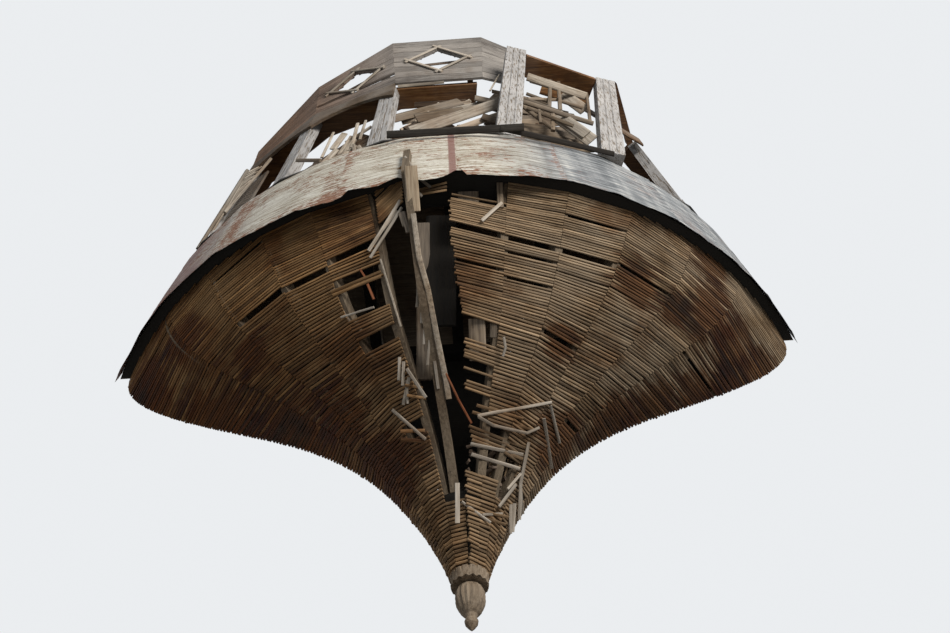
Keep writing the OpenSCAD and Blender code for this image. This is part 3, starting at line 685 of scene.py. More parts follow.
# Free laths on the right of the split: depths, and how far they run on past the last rib.
FREE_BANDS = [(0.165, 0.188, 0.375, 0.335), (0.215, 0.445, 0.365, 0.345), (0.475, 0.672, 0.345, 0.305),
              (0.70, 0.985, 0.305, 0.225), (1.065, 1.155, 0.19, 0.175), (1.185, 1.20, 0.165, 0.165),
              (1.235, 1.285, 0.155, 0.15), (1.62, 2.08, 0.10, 0.045)]
rng = random.Random(7)
print("bands in", len(BANDS) + 1, "panels")

# %% [markdown]
# Rows and their ends
# `lath_rows` steps down the skin, `lath_ends` finds where a lath meets its two ribs, and
# `slant` tips the outer ones.

# %% Lath rows


def lifted(sign, bearing, depth):
    """How far the laths at the split have risen along the skin."""
    if sign > 0:
        return 0.047 * math.exp(-((depth - 0.42) / 0.28) ** 2) if bearing <= 16 else 0
    share = {LEFT_EDGE: 0.080, LEFT_RIB: 0.015}.get(bearing, 0)
    return share * math.exp(-((depth - 0.38) / 0.20) ** 2)


def slant(b0, b1, depth):
    """Outer laths aren't quite level: low ones rise towards the wall, high ones fall."""
    if b0 < OUTER:
        return 0
    rise = SLANT * math.tanh((depth - 0.62) / 0.26)
    return rise * reach(b0, max(0, depth)) * math.radians(b1 - b0)


def lath_ends(sign, b0, b1, depth, inset):
    """The two ends of a lath on the skin, or nothing where it would lie above the rim."""
    rise = slant(b0, b1, depth)
    d0, d1 = depth + rise / 2, depth - rise / 2
    if max(d0, d1) < 0.010:
        return None
    if d0 < RIM < d1:
        b0, d0 = b0 + (b1 - b0) * (RIM - d0) / (d1 - d0), RIM
    if d1 < RIM < d0:
        b1, d1 = b1 + (b0 - b1) * (RIM - d1) / (d0 - d1), RIM
    ends = []
    for b, d in ((b0, d0), (b1, d1)):
        d = min(max(d - lifted(sign, b, depth) + rng.gauss(0, 0.0011), 0), HULL_DROP)
        ends.append(hull_point(sign * b, d, inset))
    return ends


def lath_rows(bands, number):
    """Rows of laths in the bands, a pitch apart down the slope, each with a tone of its own."""
    depth, row = (0.012, 0) if number < 4 else (-0.060, -4)
    while depth < HULL_DROP - 0.010:
        tone = random.Random(row).random()
        for band in bands:
            if (band[0] or -1) <= depth <= band[1]:  # a band from 0 also takes rows above the rim
                yield depth, tone, band
        depth += PITCH * math.cos(slope_at(LEVEL_AT[number], max(0, depth)))
        row += 1


def lath_tone(tone):
    return 0.6 * tone + 0.4 * rng.random()


print("lift at the split", round(lifted(1, 0, 0.42), 3), "slant", round(slant(48, 63, 1.0), 3))

# %% [markdown]
# Laying the panels
# Every lath is a little off in width, thickness and tone, a few have dropped at one end, and
# fewer still are gone.

# %% Lath panels


def laths(sign, number, bands):
    b0, b1 = BEARINGS[sign][number - 1:number + 1]
    for depth, tone, _ in lath_rows(bands, number):
        slack = rng.random()
        ends = lath_ends(sign, b0, b1, depth, LATH_IN + abs(rng.gauss(0, 0.0012)))
        if not ends:
            continue
        a, b = ends
        trim = (b - a).normalized() * END_GAP
        if slack < SAGS:
            b = b - Vector((0, 0, SAG))
        if SAGS < slack < GONE:
            continue
        yield (a + trim, b - trim, LATH_H * rng.uniform(0.90, 1.06), LATH_T * rng.uniform(0.85, 1.1),
               hull_normal(sign * (b0 + b1) / 2, depth), lath_tone(tone))


def free_laths():
    for depth, tone, (top, bottom, long_top, long_bottom) in lath_rows(FREE_BANDS, 1):
        share = (depth - top) / (bottom - top)
        held, far = lath_ends(1, 16, 32, depth, LATH_IN)
        run_on = long_top + (long_bottom - long_top) * share + rng.uniform(-0.010, 0.010)
        yield (held + (held - far).normalized() * run_on, held, LATH_H * rng.uniform(0.84, 0.98),
               LATH_T * rng.uniform(0.9, 1.15), hull_normal(12, depth), lath_tone(tone))


for side, sign in (("right", 1), ("left", -1)):
    for number in range(1, 6):
        panel = "%s_%d" % (side, number)
        if panel == "right_1":
            rows = free_laths()
        else:
            stretches = (5, 6) if number == 5 else (number,)
            rows = [row for k in stretches for row in laths(sign, k, BANDS[side, number])]
        lay_bars("laths_" + panel, rows, lath_paint, "lath", 5, 0.0025, replaced=["lath_panel_" + panel])

# %% [markdown]
# Ribs on the left
# The frame's ribs stand behind the laths. On the left they are drawn again on the bearings that
# the nail lines show, so that the hole near the split lies between two of them.

# %% Left ribs
RIB_W, RIB_DEEP, RIB_END, RIB_STEPS = 0.045, 0.085, 0.82, 26
RIB_IN = LATH_T + 0.004


def tube_faces(first, rings, n):
    """Faces of a tube through rings of n points, closed at both ends."""
    last = first + (rings - 1) * n
    faces = [tuple(range(first, first + n)), tuple(reversed(range(last, last + n)))]
    for ring in range(first, last, n):
        for k in range(n):
            a, b = ring + k, ring + (k + 1) % n
            faces.append((a, a + n, b + n, b))
    return faces


verts, faces = [], []
for bearing in (-LEFT_EDGE, -LEFT_RIB, -50, -64, -77):
    faces += tube_faces(len(verts), RIB_STEPS + 1, 4)
    angle = math.radians(bearing)
    half = Vector((math.cos(angle), math.sin(angle), 0)) * RIB_W / 2
    for k in range(RIB_STEPS + 1):
        depth = RIM + (HULL_DROP * RIB_END - RIM) * k / RIB_STEPS
        outer = hull_point(bearing, depth, RIB_IN)
        inner = hull_point(bearing, depth, RIB_IN + RIB_DEEP * (1 - 0.4 * k / RIB_STEPS))
        verts += [outer - half, outer + half, inner + half, inner - half]
mesh = plain_mesh("ribs_left_drawn", verts, faces)
print(ride("ribs_left_drawn", mesh, rib_paint, "rib_timber", "ribs_left").name, len(faces), "faces")

# %% [markdown]
# Round the split
# The front rib has sprung forward and taken the tops of its laths along: they now fan out from
# the next rib up to its head. Broken laths hang in the opening and lie across it. Each is two
# ends in millimetres, a width and a thickness, read from the photograph's view.

# %% Tables of loose pieces
PALE_STICKS = [
    (-280, -1476, 211, -181, -1412, -24, 17, 10), (-276, -1470, 20, -118, -1362, -80, 19, 11),
    (-288, -1430, -15, -172, -1334, -165, 20, 9), (-309, -1318, -170, -507, -1112, -449, 21, 9),
    (-298, -1292, -222, -495, -1090, -502, 18, 9), (-330, -1270, -215, -420, -1190, -330, 16, 8),
    (-202, -1025, -724, -216, -943, -880, 17, 8), (-182, -1006, -770, -191, -882, -958, 19, 9),
    (-169, -911, -932, -165, -850, -995, 14, 8), (-152, -813, -1034, -170, -711, -1131, 15, 8),
    (-176, -853, -990, -185, -795, -1044, 15, 8), (-130, -728, -1122, -116, -621, -1239, 16, 8),
    (-325, -740, -1081, -333, -642, -1166, 18, 8), (-302, -724, -1102, -312, -625, -1191, 17, 8),
    (-274, -664, -1171, -314, -548, -1264, 19, 8), (-288, -650, -1177, -288, -556, -1271, 13, 8),
    (-286, -700, -1140, -185, -598, -1283, 18, 9), (-379, -510, -1255, -195, -447, -1453, 17, 9),
    (328, -1267, -169, 191, -1223, -337, 21, 9), (-36, -345, -1693, -45, -255, -1884, 24, 9),
    (89, -532, -1382, 515, -450, -1192, 17, 9), (93, -526, -1383, 174, -481, -1412, 17, 9),
    (174, -481, -1412, 353, -388, -1377, 17, 9), (353, -388, -1377, 432, -370, -1313, 16, 9),
    (43, -440, -1503, 325, -309, -1463, 19, 9), (45, -410, -1550, 300, -269, -1527, 19, 9),
    (364, -345, -1403, 298, -217, -1588, 18, 9), (298, -222, -1588, 275, -110, -1740, 18, 9),
    (272, -233, -1608, 170, -231, -1764, 17, 9), (304, -250, -1546, 224, -250, -1658, 14, 9),
    (462, -395, -1265, 498, -100, -1350, 19, 9), (509, -434, -1201, 552, -212, -1266, 17, 9),
    (297, -190, -1601, 300, -95, -1690, 16, 9), (257, -164, -1676, 235, -80, -1795, 20, 9),
    (236, -170, -1690, 222, -90, -1815, 18, 9), (-18, -293, -1774, 120, -214, -1854, 14, 8),
    (83, -246, -1827, 187, -188, -1771, 13, 8), (-672, -848, -781, -469, -920, -811, 12, 7),
    (262, -815, -1050, 268, -775, -1095, 14, 8), (268, -775, -1095, 250, -735, -1125, 14, 8),
]
BROWN_STICKS = [
    (-191, -1342, -63, -12, -1364, -16, 15, 9), (-183, -1333, -79, -14, -1347, -42, 15, 9),
    (-176, -1325, -94, -15, -1332, -66, 15, 9), (88, -560, -1327, 340, -444, -1321, 17, 9),
    (62, -539, -1358, 394, -372, -1335, 17, 9), (40, -494, -1420, 348, -320, -1423, 17, 9),
    (44, -479, -1440, 338, -308, -1444, 17, 9), (48, -462, -1461, 330, -298, -1461, 16, 9),
    (52, -448, -1478, 322, -292, -1478, 16, 9), (148, -310, -1450, 125, -180, -1740, 26, 14),
    (172, -304, -1446, 140, -176, -1735, 20, 12), (250, -262, -1440, 180, -145, -1700, 24, 14),
    (-738, -936, -625, -429, -1045, -603, 17, 9), (-725, -926, -647, -428, -1029, -637, 17, 9),
    (-300, -640, -1210, -205, -600, -1190, 17, 9), (-290, -600, -1250, -190, -560, -1235, 17, 9),
    (-330, -470, -1400, -200, -450, -1380, 20, 9), (-330, -440, -1430, -190, -430, -1450, 20, 9),
    (95, -235, -1800, 215, -185, -1795, 14, 8), (90, -225, -1830, 200, -170, -1830, 14, 8),
]
ROD_STICKS = [
    (-72, -686, -1179, -13, -590, -1293, 12, 10), (-13, -590, -1293, 54, -500, -1403, 12, 10),
    (-560, -1037, -537, -527, -1013, -601, 12, 5), (-511, -991, -651, -470, -945, -760, 15, 6),
]
HEAD_PLANKS = [(-232, -1500, -60, -221, -1291, -300, 82, 12)]
RIB_EDGE = [(-223, -1300, -360), (-196, -1139, -620), (-149, -1022, -819), (-114, -850, -1014),
            (-72, -656, -1209), (-61, -582, -1285)]
RIB_STRIPS = [(*a, *b, 32, 10) for a, b in zip(RIB_EDGE, RIB_EDGE[1:])]
BATTEN_STRIPS = [(-432, -1088, -525, -312, -862, -955, 12, 8)]
INNER_PLANKS = [
    (-178, -1165, -195, -196, -620, -1140, 86, 22), (-744, -946, -560, -614, -819, -809, 32, 18),
    (120, -1300, -45, 118, -1254, -150, 132, 20), (328, -1338, -8, 318, -1245, -196, 40, 14),
    (-292, -1275, -255, -258, -1206, -420, 30, 12), (-312, -1271, -259, -285, -1221, -360, 20, 10),
    (118, -880, -945, 112, -700, -1100, 95, 20), (212, -850, -960, 205, -790, -1010, 40, 20),
]
# Near-black boards inside the split: painted shade for the hollow behind the laths.
SHADE_PLANKS = [(-60, -1180, -130, -95, -800, -860, 190, 24),
               (-110, -190, -1540, 20, -130, -1840, 170, 8), (30, -210, -1520, 60, -130, -1820, 150, 8)]
print("pale sticks", len(PALE_STICKS), "brown sticks", len(BROWN_STICKS), "rods", len(ROD_STICKS))

# %% [markdown]
# Laying them
# The fan is one lath moved step by step between two edges, with one lath lost. The rubble lies
# on the laths low on the right.

# %% Fan, loose pieces and rubble
FAN, FAN_LOST, RUBBLE = 12, 2, 110
FAN_LEFT = [Vector((-0.478, -1.318, -0.012)), Vector((-0.449, -1.205, -0.243))]
FAN_RIGHT = [Vector((-0.300, -1.436, 0.130)), Vector((-0.292, -1.318, -0.175))]
VIEW_OUT = (0.0, -0.55, -0.83)


def loose(rows, out=VIEW_OUT):
    for row in rows:
        yield (Vector(row[:3]) / 1000, Vector(row[3:6]) / 1000, row[6] / 1000, row[7] / 1000, out,
               rng.random())


def fan_laths():
    for k in range(FAN):
        if k != FAN_LOST:
            a, b = [edge[0].lerp(edge[1], k / (FAN - 1)) for edge in (FAN_LEFT, FAN_RIGHT)]
            yield a, b, 0.0185, 0.010, (-0.25, -0.8, -0.55), rng.random()


def rubble():
    for _ in range(RUBBLE):
        place = hull_point(rng.uniform(4, 46), rng.uniform(1.46, 1.80), rng.uniform(0.035, 0.11))
        way = Vector((rng.gauss(0, 1), rng.gauss(0, 1), rng.gauss(0, 0.7))).normalized()
        way *= rng.uniform(0.010, 0.034)
        yield (place - way, place + way, rng.uniform(0.008, 0.026), rng.uniform(0.006, 0.016),
               (rng.gauss(0, 1), -1, -1), rng.random())


lay_bars("fan_laths", fan_laths(), lath_paint, "lath", 4, 0.004)
for name, rows, finish, slot, bend in (
        ("pale_sticks", PALE_STICKS, stick_paint, "lath", 0.006),
        ("broken_laths", BROWN_STICKS, lath_paint, "lath", 0.005),
        ("rusty_rods", ROD_STICKS, rod_paint, "lath", 0.004),
        ("tan_head_plank", HEAD_PLANKS, tan_paint, "rib_timber", 0.001),
        ("loose_rib_edge", RIB_STRIPS + BATTEN_STRIPS, loose_paint, "rib_timber", 0.001),
        ("inner_planks", INNER_PLANKS, plank_paint, "rib_timber", 0.002),
        ("sooty_planks", SHADE_PLANKS, shade_black_paint, "rib_timber", 0.002)):
    lay_bars(name, loose(rows), finish, slot, 5, bend, 0.14)
lay_bars("rubble", rubble(), rubble_paint, "lath", 2, 0.01, 0.2)

# %% [markdown]
# The metal sheets
# Four solids stand for the cladding. Each is drawn again as thin sheets that follow the
# breast's arc: they bulge a little between their nails, lap over each other at the seams, and
# their lower edge is torn and rolled. Angles are in degrees round the bay.

# %% The sheets' shape
BAY_R, BAY_CY = 2.85683, 1.42683
WALL_GAP = 0.002
METAL_TOP, SHEET_T, SHEET_STAND = 0.797, 0.0014, 0.010
LAP, OVER = 0.9, 0.003  # how far a sheet laps over the next, and how far it then stands out
COLUMN, DOWN = 0.8, 16  # the grid: degrees in a column, and rows
SEAMS = [-60.0, -46.0, -31.0, -14.5, 0.8, 15.4, 31.0, 40.0, 50.0, 60.0]
# Heights of the torn lower edge, by angle.
METAL_EDGE = [(-60, -0.045), (-46, -0.060), (-33, -0.080), (-25, -0.120), (-20, -0.130),
              (-15, -0.190), (-13.5, -0.160), (-12.9, -0.070), (-9, -0.130), (-6.5, -0.060),
              (-3, -0.150), (-1.3, -0.140), (0.2, -0.070), (1.5, 0.045), (2.0, -0.110),
              (8, -0.110), (14.6, -0.030), (20, -0.015),
              (24, -0.030), (33, -0.030), (45, -0.045), (60, -0.045)]


def edge_height(angle):
    for (a0, z0), (a1, z1) in zip(METAL_EDGE, METAL_EDGE[1:]):
        if a0 <= angle <= a1:
            return z0 + (z1 - z0) * (angle - a0) / (a1 - a0)


def noise_1d(x, seed):
    k = math.floor(x)
    f = x - k
    a, b = [random.Random(seed * 7919 + n).uniform(-1, 1) for n in (k, k + 1)]
    return a + (b - a) * (f * f * (3 - 2 * f))


def sheet_point(angle, z, stand, index):
    swell = 0.006 * noise_1d(angle * 0.30 + 31 * index, 3) + 0.003 * noise_1d(z * 9 + angle * 0.3, 5)
    r = BAY_R + SHEET_STAND + stand + swell
    a = math.radians(angle)
    return Vector((r * math.sin(a), min(BAY_CY - r * math.cos(a), -WALL_GAP), z))


print("torn edge at the split", edge_height(0))

# %% [markdown]
# Sheets as grids
# A sheet is a grid with a back, closed along its rim. Its `grain` is the flat sheet.

# %% Sheets


def metal_piece(node, first_seam, last_seam):
    verts, faces, grain = [], [], []
    for seam in range(first_seam, last_seam):
        a0, a1 = SEAMS[seam], SEAMS[seam + 1]
        lap, over = (LAP, OVER) if seam % 2 else (0, 0.0)
        across = max(6, int((a1 - a0 + LAP) / COLUMN))
        first, step = len(verts), DOWN + 1
        half = (across + 1) * step
        for back in (0, 1):
            for i in range(across + 1):
                angle = min(a0 + (a1 + lap - a0) * i / across, SEAMS[-1])
                torn = 0.008 * noise_1d(angle * 0.9, 11) + 0.006 * noise_1d(angle * 4.2, 12)
                drop = edge_height(angle) + torn - METAL_TOP
                roll = 0.006 * max(0, noise_1d(angle * 0.5, 13))
                for j in range(step):
                    z = METAL_TOP + drop * (j / DOWN)
                    stand = over + (roll if j == DOWN else 0) - back * SHEET_T
                    verts.append(sheet_point(angle, z, stand, seam))
                    grain.append((math.radians(angle) * BAY_R, z, 0.37 * seam))

        def quad(*corners):
            faces.append(tuple(first + back * half + i * step + j for back, i, j in corners))
        for i in range(across):
            for j in range(DOWN):
                quad((0, i, j), (0, i, j + 1), (0, i + 1, j + 1), (0, i + 1, j))
                quad((1, i, j), (1, i + 1, j), (1, i + 1, j + 1), (1, i, j + 1))
            quad((0, i, 0), (0, i + 1, 0), (1, i + 1, 0), (1, i, 0))
            quad((0, i, DOWN), (1, i, DOWN), (1, i + 1, DOWN), (0, i + 1, DOWN))
        for j in range(DOWN):
            quad((0, 0, j), (1, 0, j), (1, 0, j + 1), (0, 0, j + 1))
            quad((0, across, j), (0, across, j + 1), (1, across, j + 1), (1, across, j))
    mesh = plain_mesh(node + "_sheet", verts, faces)
    store(mesh, "grain", grain)
    print(ride(node + "_sheet", mesh, metal_paint, "sheet_metal", node).name, len(faces), "faces")


for node, first_seam, last_seam in (("metal_left_outer", 0, 2), ("metal_left_inner", 2, 4),
                                    ("metal_right_inner", 4, 6), ("metal_right_outer", 6, 9)):
    metal_piece(node, first_seam, last_seam)

# %% [markdown]
# The storey's faces
# The windows stand on seven flat faces. Each face has its own flat coordinates: x along it
# from its middle, y out from it, z up. The cove leans out from the faces at the front.

# %% Faces of the storey
FACADE_R = BAY_R + 0.025
WALL_ANGLE = math.degrees(math.acos(BAY_CY / FACADE_R))
FACE_ANGLE = 2 * WALL_ANGLE / (5 + 2 * 1.125)
STOREY_TURN = -1.1
ANGLES = ([-WALL_ANGLE] + [k * FACE_ANGLE + STOREY_TURN for k in (-2.5, -1.5, -0.5, 0.5, 1.5, 2.5)]
          + [WALL_ANGLE])
HEAD_Z, HEAD_H = 2.650, 0.100
COVE_Z = HEAD_Z + HEAD_H - 0.060
COVE_LEN, COVE_LEAN, COVE_T = 0.780, math.radians(18), 0.025
# How far the cove stands out and rises at each corner.
FLARE = [COVE_LEN * math.sin(COVE_LEAN) * share for share in (0, 0.12, 0.45, 1, 1, 0.45)]
RISE = [COVE_LEN * math.cos(COVE_LEAN) * share for share in (0, 0.5, 1, 1, 1, 1)]


def corner(k, radius=FACADE_R):
    a = math.radians(ANGLES[k])
    return Vector((radius * math.sin(a), BAY_CY - radius * math.cos(a), 0))


def face_axes(i):
    u = (corner(i + 1) - corner(i)).normalized()
    return u, Vector((u.y, -u.x, 0))


def face_point(i, x, y, z):
    u, n = face_axes(i)
    return (corner(i) + corner(i + 1)) / 2 + u * x + n * y + Vector((0, 0, z))


def half_face(i):
    return (corner(i + 1) - corner(i)).length / 2


def cove_point(i, u, v, deep):
    low = corner(i).lerp(corner(i + 1), u)
    high = corner(i, FACADE_R + FLARE[i]).lerp(corner(i + 1, FACADE_R + FLARE[i + 1]), u)
    p = low.lerp(high, v) - face_axes(i)[1] * deep
    p.z = COVE_Z + v * (RISE[i] + (RISE[i + 1] - RISE[i]) * u)
    return p


print("corners", [round(a, 1) for a in ANGLES])

# %% [markdown]
# Boards of the cove
# Each panel is a stack of level boards about 100 mm high, worn to slightly different widths.
# A board is drawn as a flat outline in the panel's own coordinates, cut where the diamond
# opening crosses it, and then given its thickness.

# %% Cove boards
DIAMOND_W, DIAMOND_H = 0.500, 0.400
BOARDS = 8  # in a panel of full height
BOARD_GAP, WORN = 0.003, 0.002  # half the joint, as a share of the height; and the bevel
ACROSS_STEP = 61  # moves the grain of each board sideways, as GRAIN_STEP moves it along
TIPS = [0.5 - DIAMOND_H / 2 / COVE_LEN, 0.5, 0.5 + DIAMOND_H / 2 / COVE_LEN]
# Name, face, bands of boards, where boards and the strips behind them end, diamond or not.
COVE = [("front", 3, [(0, 1)], 1, 1, True), ("left_1", 2, [(0, 0.19), (0.26, 1)], 1, 1, True),
        ("left_2", 1, [(0, 1)], 1, 1, False), ("right_1", 4, [(0, 1)], 0.42, 0.36, False)]


class Planks:
    """Flat outlines with a thickness, gathered in one mesh with grain along x."""

    def __init__(self, name):
        self.name = name
        self.verts, self.faces, self.grain, self.tints = [], [], [], []

    def add(self, outline, place, tint):
        self.faces += tube_faces(len(self.verts), 2, len(outline))
        for deep in (0, COVE_T):
            for x, y in outline:
                self.verts.append(place(x, y, deep))
                self.grain.append((x + tint * GRAIN_STEP, y + tint * ACROSS_STEP, deep))
                self.tints.append(tint)

    def build(self, *replaced):
        mesh = plain_mesh(self.name, self.verts, self.faces)
        store(mesh, "grain", self.grain)
        store(mesh, "tint", self.tints)
        piece = new_object(self.name, mesh)
        edge = piece.modifiers.new("worn edge", "BEVEL")
        edge.width = WORN
        edge.segments = 1
        print(settle(piece, self.name, board_paint, "cove_timber", *replaced).name)


def diamond_half(v):
    return max(0.0, DIAMOND_W / 2 * (1 - abs(v - 0.5) * COVE_LEN / (DIAMOND_H / 2)))


def boards_in(b0, b1):
    return max(1, round((b1 - b0) * BOARDS))


def cove_panel(run, i, bands, u1, diamond):
    for b0, b1 in bands:
        n = boards_in(b0, b1)
        edges = [b0 + (b1 - b0) * (k + (rng.uniform(-0.12, 0.12) if 0 < k < n else 0)) / n
                 for k in range(n + 1)]
        for v0, v1 in zip(edges, edges[1:]):
            v0, v1 = v0 + BOARD_GAP, v1 - BOARD_GAP
            right = u1 - (rng.uniform(0, 0.10) if u1 < 1 else 0)
            tint = rng.random()
            proud = rng.uniform(0, 0.003)

            def place(x, v, deep):
                return cove_point(i, x, v, deep + proud)
            if not diamond or v1 <= TIPS[0] or v0 >= TIPS[2]:
                run.add([(0, v0), (right, v0), (right, v1), (0, v1)], place, tint)
                continue
            cuts = [(v, diamond_half(v) / (2 * half_face(i)))
                    for v in [v0] + [t for t in TIPS if v0 < t < v1] + [v1]]
            run.add([(0, v0)] + [(0.5 - h, v) for v, h in cuts] + [(0, v1)], place, tint)
            run.add([(0.5 + h, v) for v, h in reversed(cuts)] + [(right, v0), (right, v1)], place, tint)


for name, i, bands, u1, _, diamond in COVE:
    run = Planks("cove_boards_" + name)
    cove_panel(run, i, bands, u1, diamond)
    run.build("cove_" + name)

# %% [markdown]
# Behind and before the boards
# Loose boards cross behind the diamonds. Near-black strips behind the joints keep daylight out, and
# their black is painted shade in the joints. Four sticks frame each diamond and cross at its corners.

# %% Joints and diamond sticks
INNER_BOARDS = ((3, (0.22, 0.62), (0.78, 0.70)), (3, (0.30, 0.40), (0.66, 0.36)),
                (2, (0.20, 0.66), (0.80, 0.72)), (2, (0.30, 0.38), (0.76, 0.44)))
STRIP_DEEP = COVE_T + 0.010
STICK_OVERRUN = 0.07


def joints():
    for _, i, bands, _, u1, diamond in COVE:
        out = face_axes(i)[1]
        for b0, b1 in bands:
            n = boards_in(b0, b1)
            for k in range(1, n):
                v = b0 + (b1 - b0) * k / n
                stretches = [(0.01, u1 - 0.01)]
                if diamond and diamond_half(v) > 0:
                    h = diamond_half(v) / (2 * half_face(i)) + 0.03
                    stretches = [(0.01, 0.5 - h), (0.5 + h, u1 - 0.01)]
                for stretch in stretches:
                    yield (*[cove_point(i, u, v, STRIP_DEEP) for u in stretch], 0.045, 0.008, out, 0.5)


def diamond_sticks():
    w, h = DIAMOND_W / 2 + 0.03, DIAMOND_H / 2 + 0.025
    corners = [(-w, 0), (0, h), (w, 0), (0, -h)]
    for i in (3, 2):
        out = face_axes(i)[1]
        for k in range(4):
            start, end = [cove_point(i, 0.5 + x / (2 * half_face(i)), 0.5 + y / COVE_LEN, 0)
                          + out * (0.006 + 0.003 * (k % 2))
                          for x, y in (corners[k], corners[(k + 1) % 4])]
            step = (end - start).normalized() * STICK_OVERRUN * rng.uniform(0.5, 1)
            yield start - step, end + step, 0.038, 0.016, out, rng.random()


inner = [(cove_point(i, *a, 0.10), cove_point(i, *b, 0.11), 0.085, 0.014, face_axes(i)[1], rng.random())
         for i, a, b in INNER_BOARDS]
lay_bars("cove_inner_boards", inner, wreck_paint, "cove_timber", 3, 0.004)
lay_bars("cove_joint_strips", joints(), shade_black_paint, "cove_timber", 2, 0)
lay_bars("diamond_sticks", diamond_sticks(), stick_paint, "cove_timber", 3, 0.004)

# %% [markdown]
# Loose timber in the storey
# The windows have lost their sashes. What is left lies across the openings: fallen planks in the
# front one, the wreck of a frame between the two leaning posts, and splinters on the left.
# Ends are in millimetres, read from the photograph's view, followed by width and thickness.

# %% Tables of the storey
FALLEN = [
    (-282, -1350, 1239, 470, -1370, 1915, 92, 14), (-389, -1250, 1900, 521, -1330, 2244, 46, 12),
    (66, -1300, 1412, 446, -1324, 1714, 50, 12), (-229, -1280, 1800, -54, -1290, 2315, 44, 14),
    (-11, -1270, 2056, 225, -1280, 2425, 34, 12), (-389, -1240, 1700, -60, -1260, 2270, 30, 12),
    (743, -1500, 2275, 1273, -1310, 2235, 70, 20), (1068, -1325, 2309, 1231, -1240, 2009, 110, 8),
    (918, -1318, 1625, 1155, -1200, 1235, 120, 8), (960, -1310, 1560, 1120, -1235, 1300, 90, 8),
]
SASH = [
    (979, -1412, 2478, 862, -1350, 1645, 34, 26), (1058, -1385, 2502, 965, -1326, 1720, 34, 26),
    (639, -1450, 1596, 1214, -1258, 1524, 36, 24), (658, -1446, 1705, 953, -1340, 1634, 26, 18),
    (633, -1424, 1540, 831, -1322, 1222, 30, 20), (702, -1426, 1964, 899, -1352, 1936, 26, 18),
    (775, -1456, 2315, 1015, -1368, 2331, 34, 24), (1296, -1310, 2342, 1191, -1256, 1536, 26, 20),
    (885, -1352, 1634, 833, -1315, 1182, 34, 24), (700, -1420, 1800, 1000, -1330, 2080, 26, 16),
    (660, -1430, 1480, 1010, -1310, 1300, 28, 16), (1000, -1340, 2000, 1200, -1270, 1980, 26, 16),
    (760, -1400, 1500, 730, -1390, 1150, 22, 16),
]
SHARDS = [
    (-1171, -1224, 1061, -940, -1298, 804, 26, 16), (-916, -1232, 1271, -859, -1250, 1647, 50, 10),
    (-742, -1288, 1110, -762, -1281, 1825, 28, 12), (-828, -1239, 1420, -624, -1304, 1620, 24, 10),
    (-843, -1234, 1120, -789, -1252, 1541, 34, 10), (-999, -1195, 1196, -987, -1199, 1882, 22, 10),
    (-686, -1316, 1218, -686, -1316, 1776, 22, 10), (-960, -1215, 930, -880, -1240, 1240, 44, 12),
    (-800, -1262, 960, -740, -1285, 1330, 40, 12), (-700, -1300, 940, -735, -1290, 1180, 30, 12),
    (-880, -1240, 1000, -700, -1290, 1120, 26, 10), (-640, -1320, 900, -690, -1300, 1100, 34, 10),
    (386, -1478, 1916, 500, -1500, 2420, 14, 12), (-433, -1437, 2451, -7, -1445, 2479, 26, 5),
]
SILL_STRIPS = [
    (-430, -1476, 748, 560, -1486, 728, 54, 16), (390, -1486, 724, 1235, -1236, 770, 38, 12),
    (410, -1474, 774, 900, -1338, 796, 26, 10),
]
LATTICE_RAILS = [
    (-1735, -967, 1679, -2045, -577, 958, 46, 26), (-1640, -905, 2150, -1878, -743, 1269, 52, 26),
    (-1770, -900, 1600, -1960, -640, 1040, 20, 14),
]
BROWN_PLANKS = [(905, -1330, 2560, 1330, -1190, 2480, 120, 20)]
TEETH, TOOTH_W, TOOTH_T = 22, 0.020, 0.010
# The teeth stand between a low and a high line: where each line starts and where it ends.
TOOTH_LINES = (-2020, -600, 1010), (-1745, -955, 1650), (-1885, -745, 1290), (-1655, -905, 2080)
LATTICE_OUT = (-0.75, -0.6, -0.3)
print("pieces in the storey", len(FALLEN + SASH + SHARDS + SILL_STRIPS + BROWN_PLANKS))

# %% [markdown]
# Laying them
# The strip at the far left is a few rails and a row of teeth.

# %% Loose pieces of the storey


def lattice():
    yield from loose(LATTICE_RAILS, LATTICE_OUT)
    low, low_end, high, high_end = [Vector(p) / 1000 for p in TOOTH_LINES]
    for k in range(TEETH):
        t = (k + 0.5) / TEETH
        a, b = low.lerp(low_end, t), high.lerp(high_end, t)
        yield (a.lerp(b, 0.12), a.lerp(b, 0.62 if k % 2 else 0.86), TOOTH_W, TOOTH_T, LATTICE_OUT,
               rng.random())


for name, rows, finish, slot in (
        ("fallen_planks", FALLEN, stick_paint, "head_timber"),
        ("sash_remains", SASH, plank_paint, "head_timber"),
        ("splinters", SHARDS, stick_paint, "post_timber"),
        ("sill_strips", SILL_STRIPS, dark_strip_paint, "sill_timber"),
        ("brown_planks", BROWN_PLANKS, head_paint, "head_timber")):
    lay_bars(name, loose(rows), finish, slot, 5, 0.008, 0.14)
side_board = (face_point(5, -0.40, 0.012, 2.50), face_point(5, 0.40, 0.012, 2.47), 0.26, 0.022,
              face_axes(5)[1], 0.8)
lay_bars("side_head_board", [side_board], wreck_paint, "head_timber", 4, 0.004)
lay_bars("side_lattice", lattice(), stick_paint, "post_timber", 3, 0.003)

# %% [markdown]
# The heap in the openings
# Deeper in the openings broken boards lie in a heap. A seeded draw gives each its place, turn
# and size between sill and head; on the left they lie low.

# %% Broken boards
SILL_TOP, HEAD_LOW, HEAP_H = 0.86, 2.62, 0.25
# Face, how many, how far back.
WRECK = (("wreck_pale", plank_paint, ((4, 16, 0.07), (3, 7, 0.10), (2, 3, 0.08))),
         ("wreck_brown", wreck_paint, ((4, 14, 0.12), (2, 9, 0.10), (1, 8, 0.10), (3, 9, 0.14))))
wreck = random.Random(21)


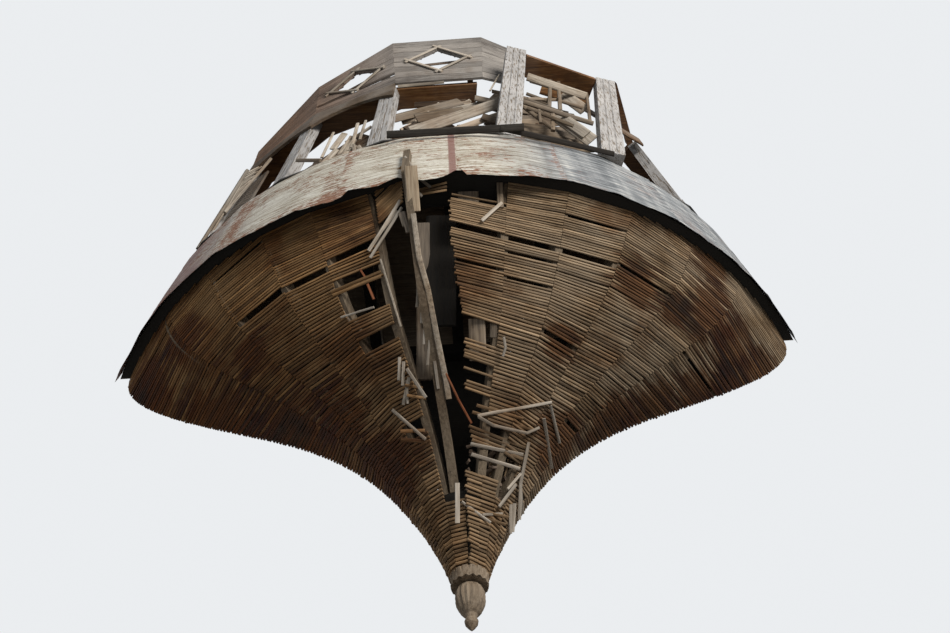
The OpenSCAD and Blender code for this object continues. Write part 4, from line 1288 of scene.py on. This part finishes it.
def heap(i, count, back):
    along, out = face_axes(i)
    for _ in range(count):
        x = wreck.uniform(-0.30, 0.30)
        turn = math.radians(wreck.uniform(-30, 60) + (60 if wreck.random() < 0.3 else 0))
        half = wreck.uniform(0.20, 0.42)
        rise = abs(math.sin(turn)) * half
        z = (wreck.uniform(SILL_TOP + rise, HEAD_LOW - rise) if i > 2
             else SILL_TOP + rise + wreck.uniform(0, HEAP_H))
        x *= 1 - abs(math.cos(turn)) * half / 0.6
        mid = face_point(i, x, -back - wreck.uniform(0, 0.05), z)
        step = (along * math.cos(turn) + Vector((0, 0, 1)) * math.sin(turn)) * half
        yield (mid - step, mid + step, wreck.uniform(0.05, 0.15), wreck.uniform(0.010, 0.020),
               out + Vector((0, 0, -0.4)), wreck.random())


for name, finish, heaps in WRECK:
    rows = [row for i, count, back in heaps for row in heap(i, count, back)]
    lay_bars(name, rows, finish, "head_timber", 4, 0.006)

# %% [markdown]
# Scallops under the collar
# The collar over the finial ends in a ring of small rounded tongues. They are the same bar on
# points, nearly as thick as it is wide, set round the collar's lower rim, which is read from
# the solid itself.

# %% Collar scallops
SCALLOPS = 16
rim = [v.co for v in bpy.data.objects["pendant_collar"].data.vertices]
low_z = min(v.z for v in rim)
middle = Vector([(min(v[k] for v in rim) + max(v[k] for v in rim)) / 2 for k in (0, 1)] + [0])
rim_r = max(math.hypot(v.x - middle.x, v.y - middle.y) for v in rim if v.z < low_z + 0.03)
tongues = []
for k in range(SCALLOPS):
    a = 2 * math.pi * k / SCALLOPS
    way = Vector((math.sin(a), -math.cos(a), 0))
    inner, outer = middle + way * (rim_r - 0.034), middle + way * (rim_r - 0.002)
    inner.z, outer.z = low_z + 0.010, low_z + 0.004
    if outer.y < -0.004:
        tongues.append((inner, outer, 2 * math.pi * rim_r / SCALLOPS * 0.86, 0.020, (0, 0, -1),
                        0.5 + 0.2 * (k % 2)))
lay_bars("collar_scallops", tongues, finial_paint, "finial_timber", 4, 0, 0.42)

# %% [markdown]
# Solids that keep their mesh
# Beams, ribs, posts and boards already have their real shape, so they only get a finish, found
# by how their name begins.

# %% Finishes for the frame's solids
FINISHES = (
    (("post_", "wall_post"), post_paint), (("sill_board",), sill_paint), (("head_plate",), head_paint),
    (("ribs_right", "loose_rib", "wall_rib"), rib_paint), (("finial", "pendant_collar"), finial_paint),
    (("floor_", "back_boards", "rim_beam", "wall_plate", "breast_boards", "pendant_core"), dark_paint))
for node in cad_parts:
    materials = bpy.data.objects[node].data.materials
    materials.clear()
    materials.append(next((paint for names, paint in FINISHES if node.startswith(names)), beam_paint))
print("finished", len(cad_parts), "solids")

# %% [markdown]
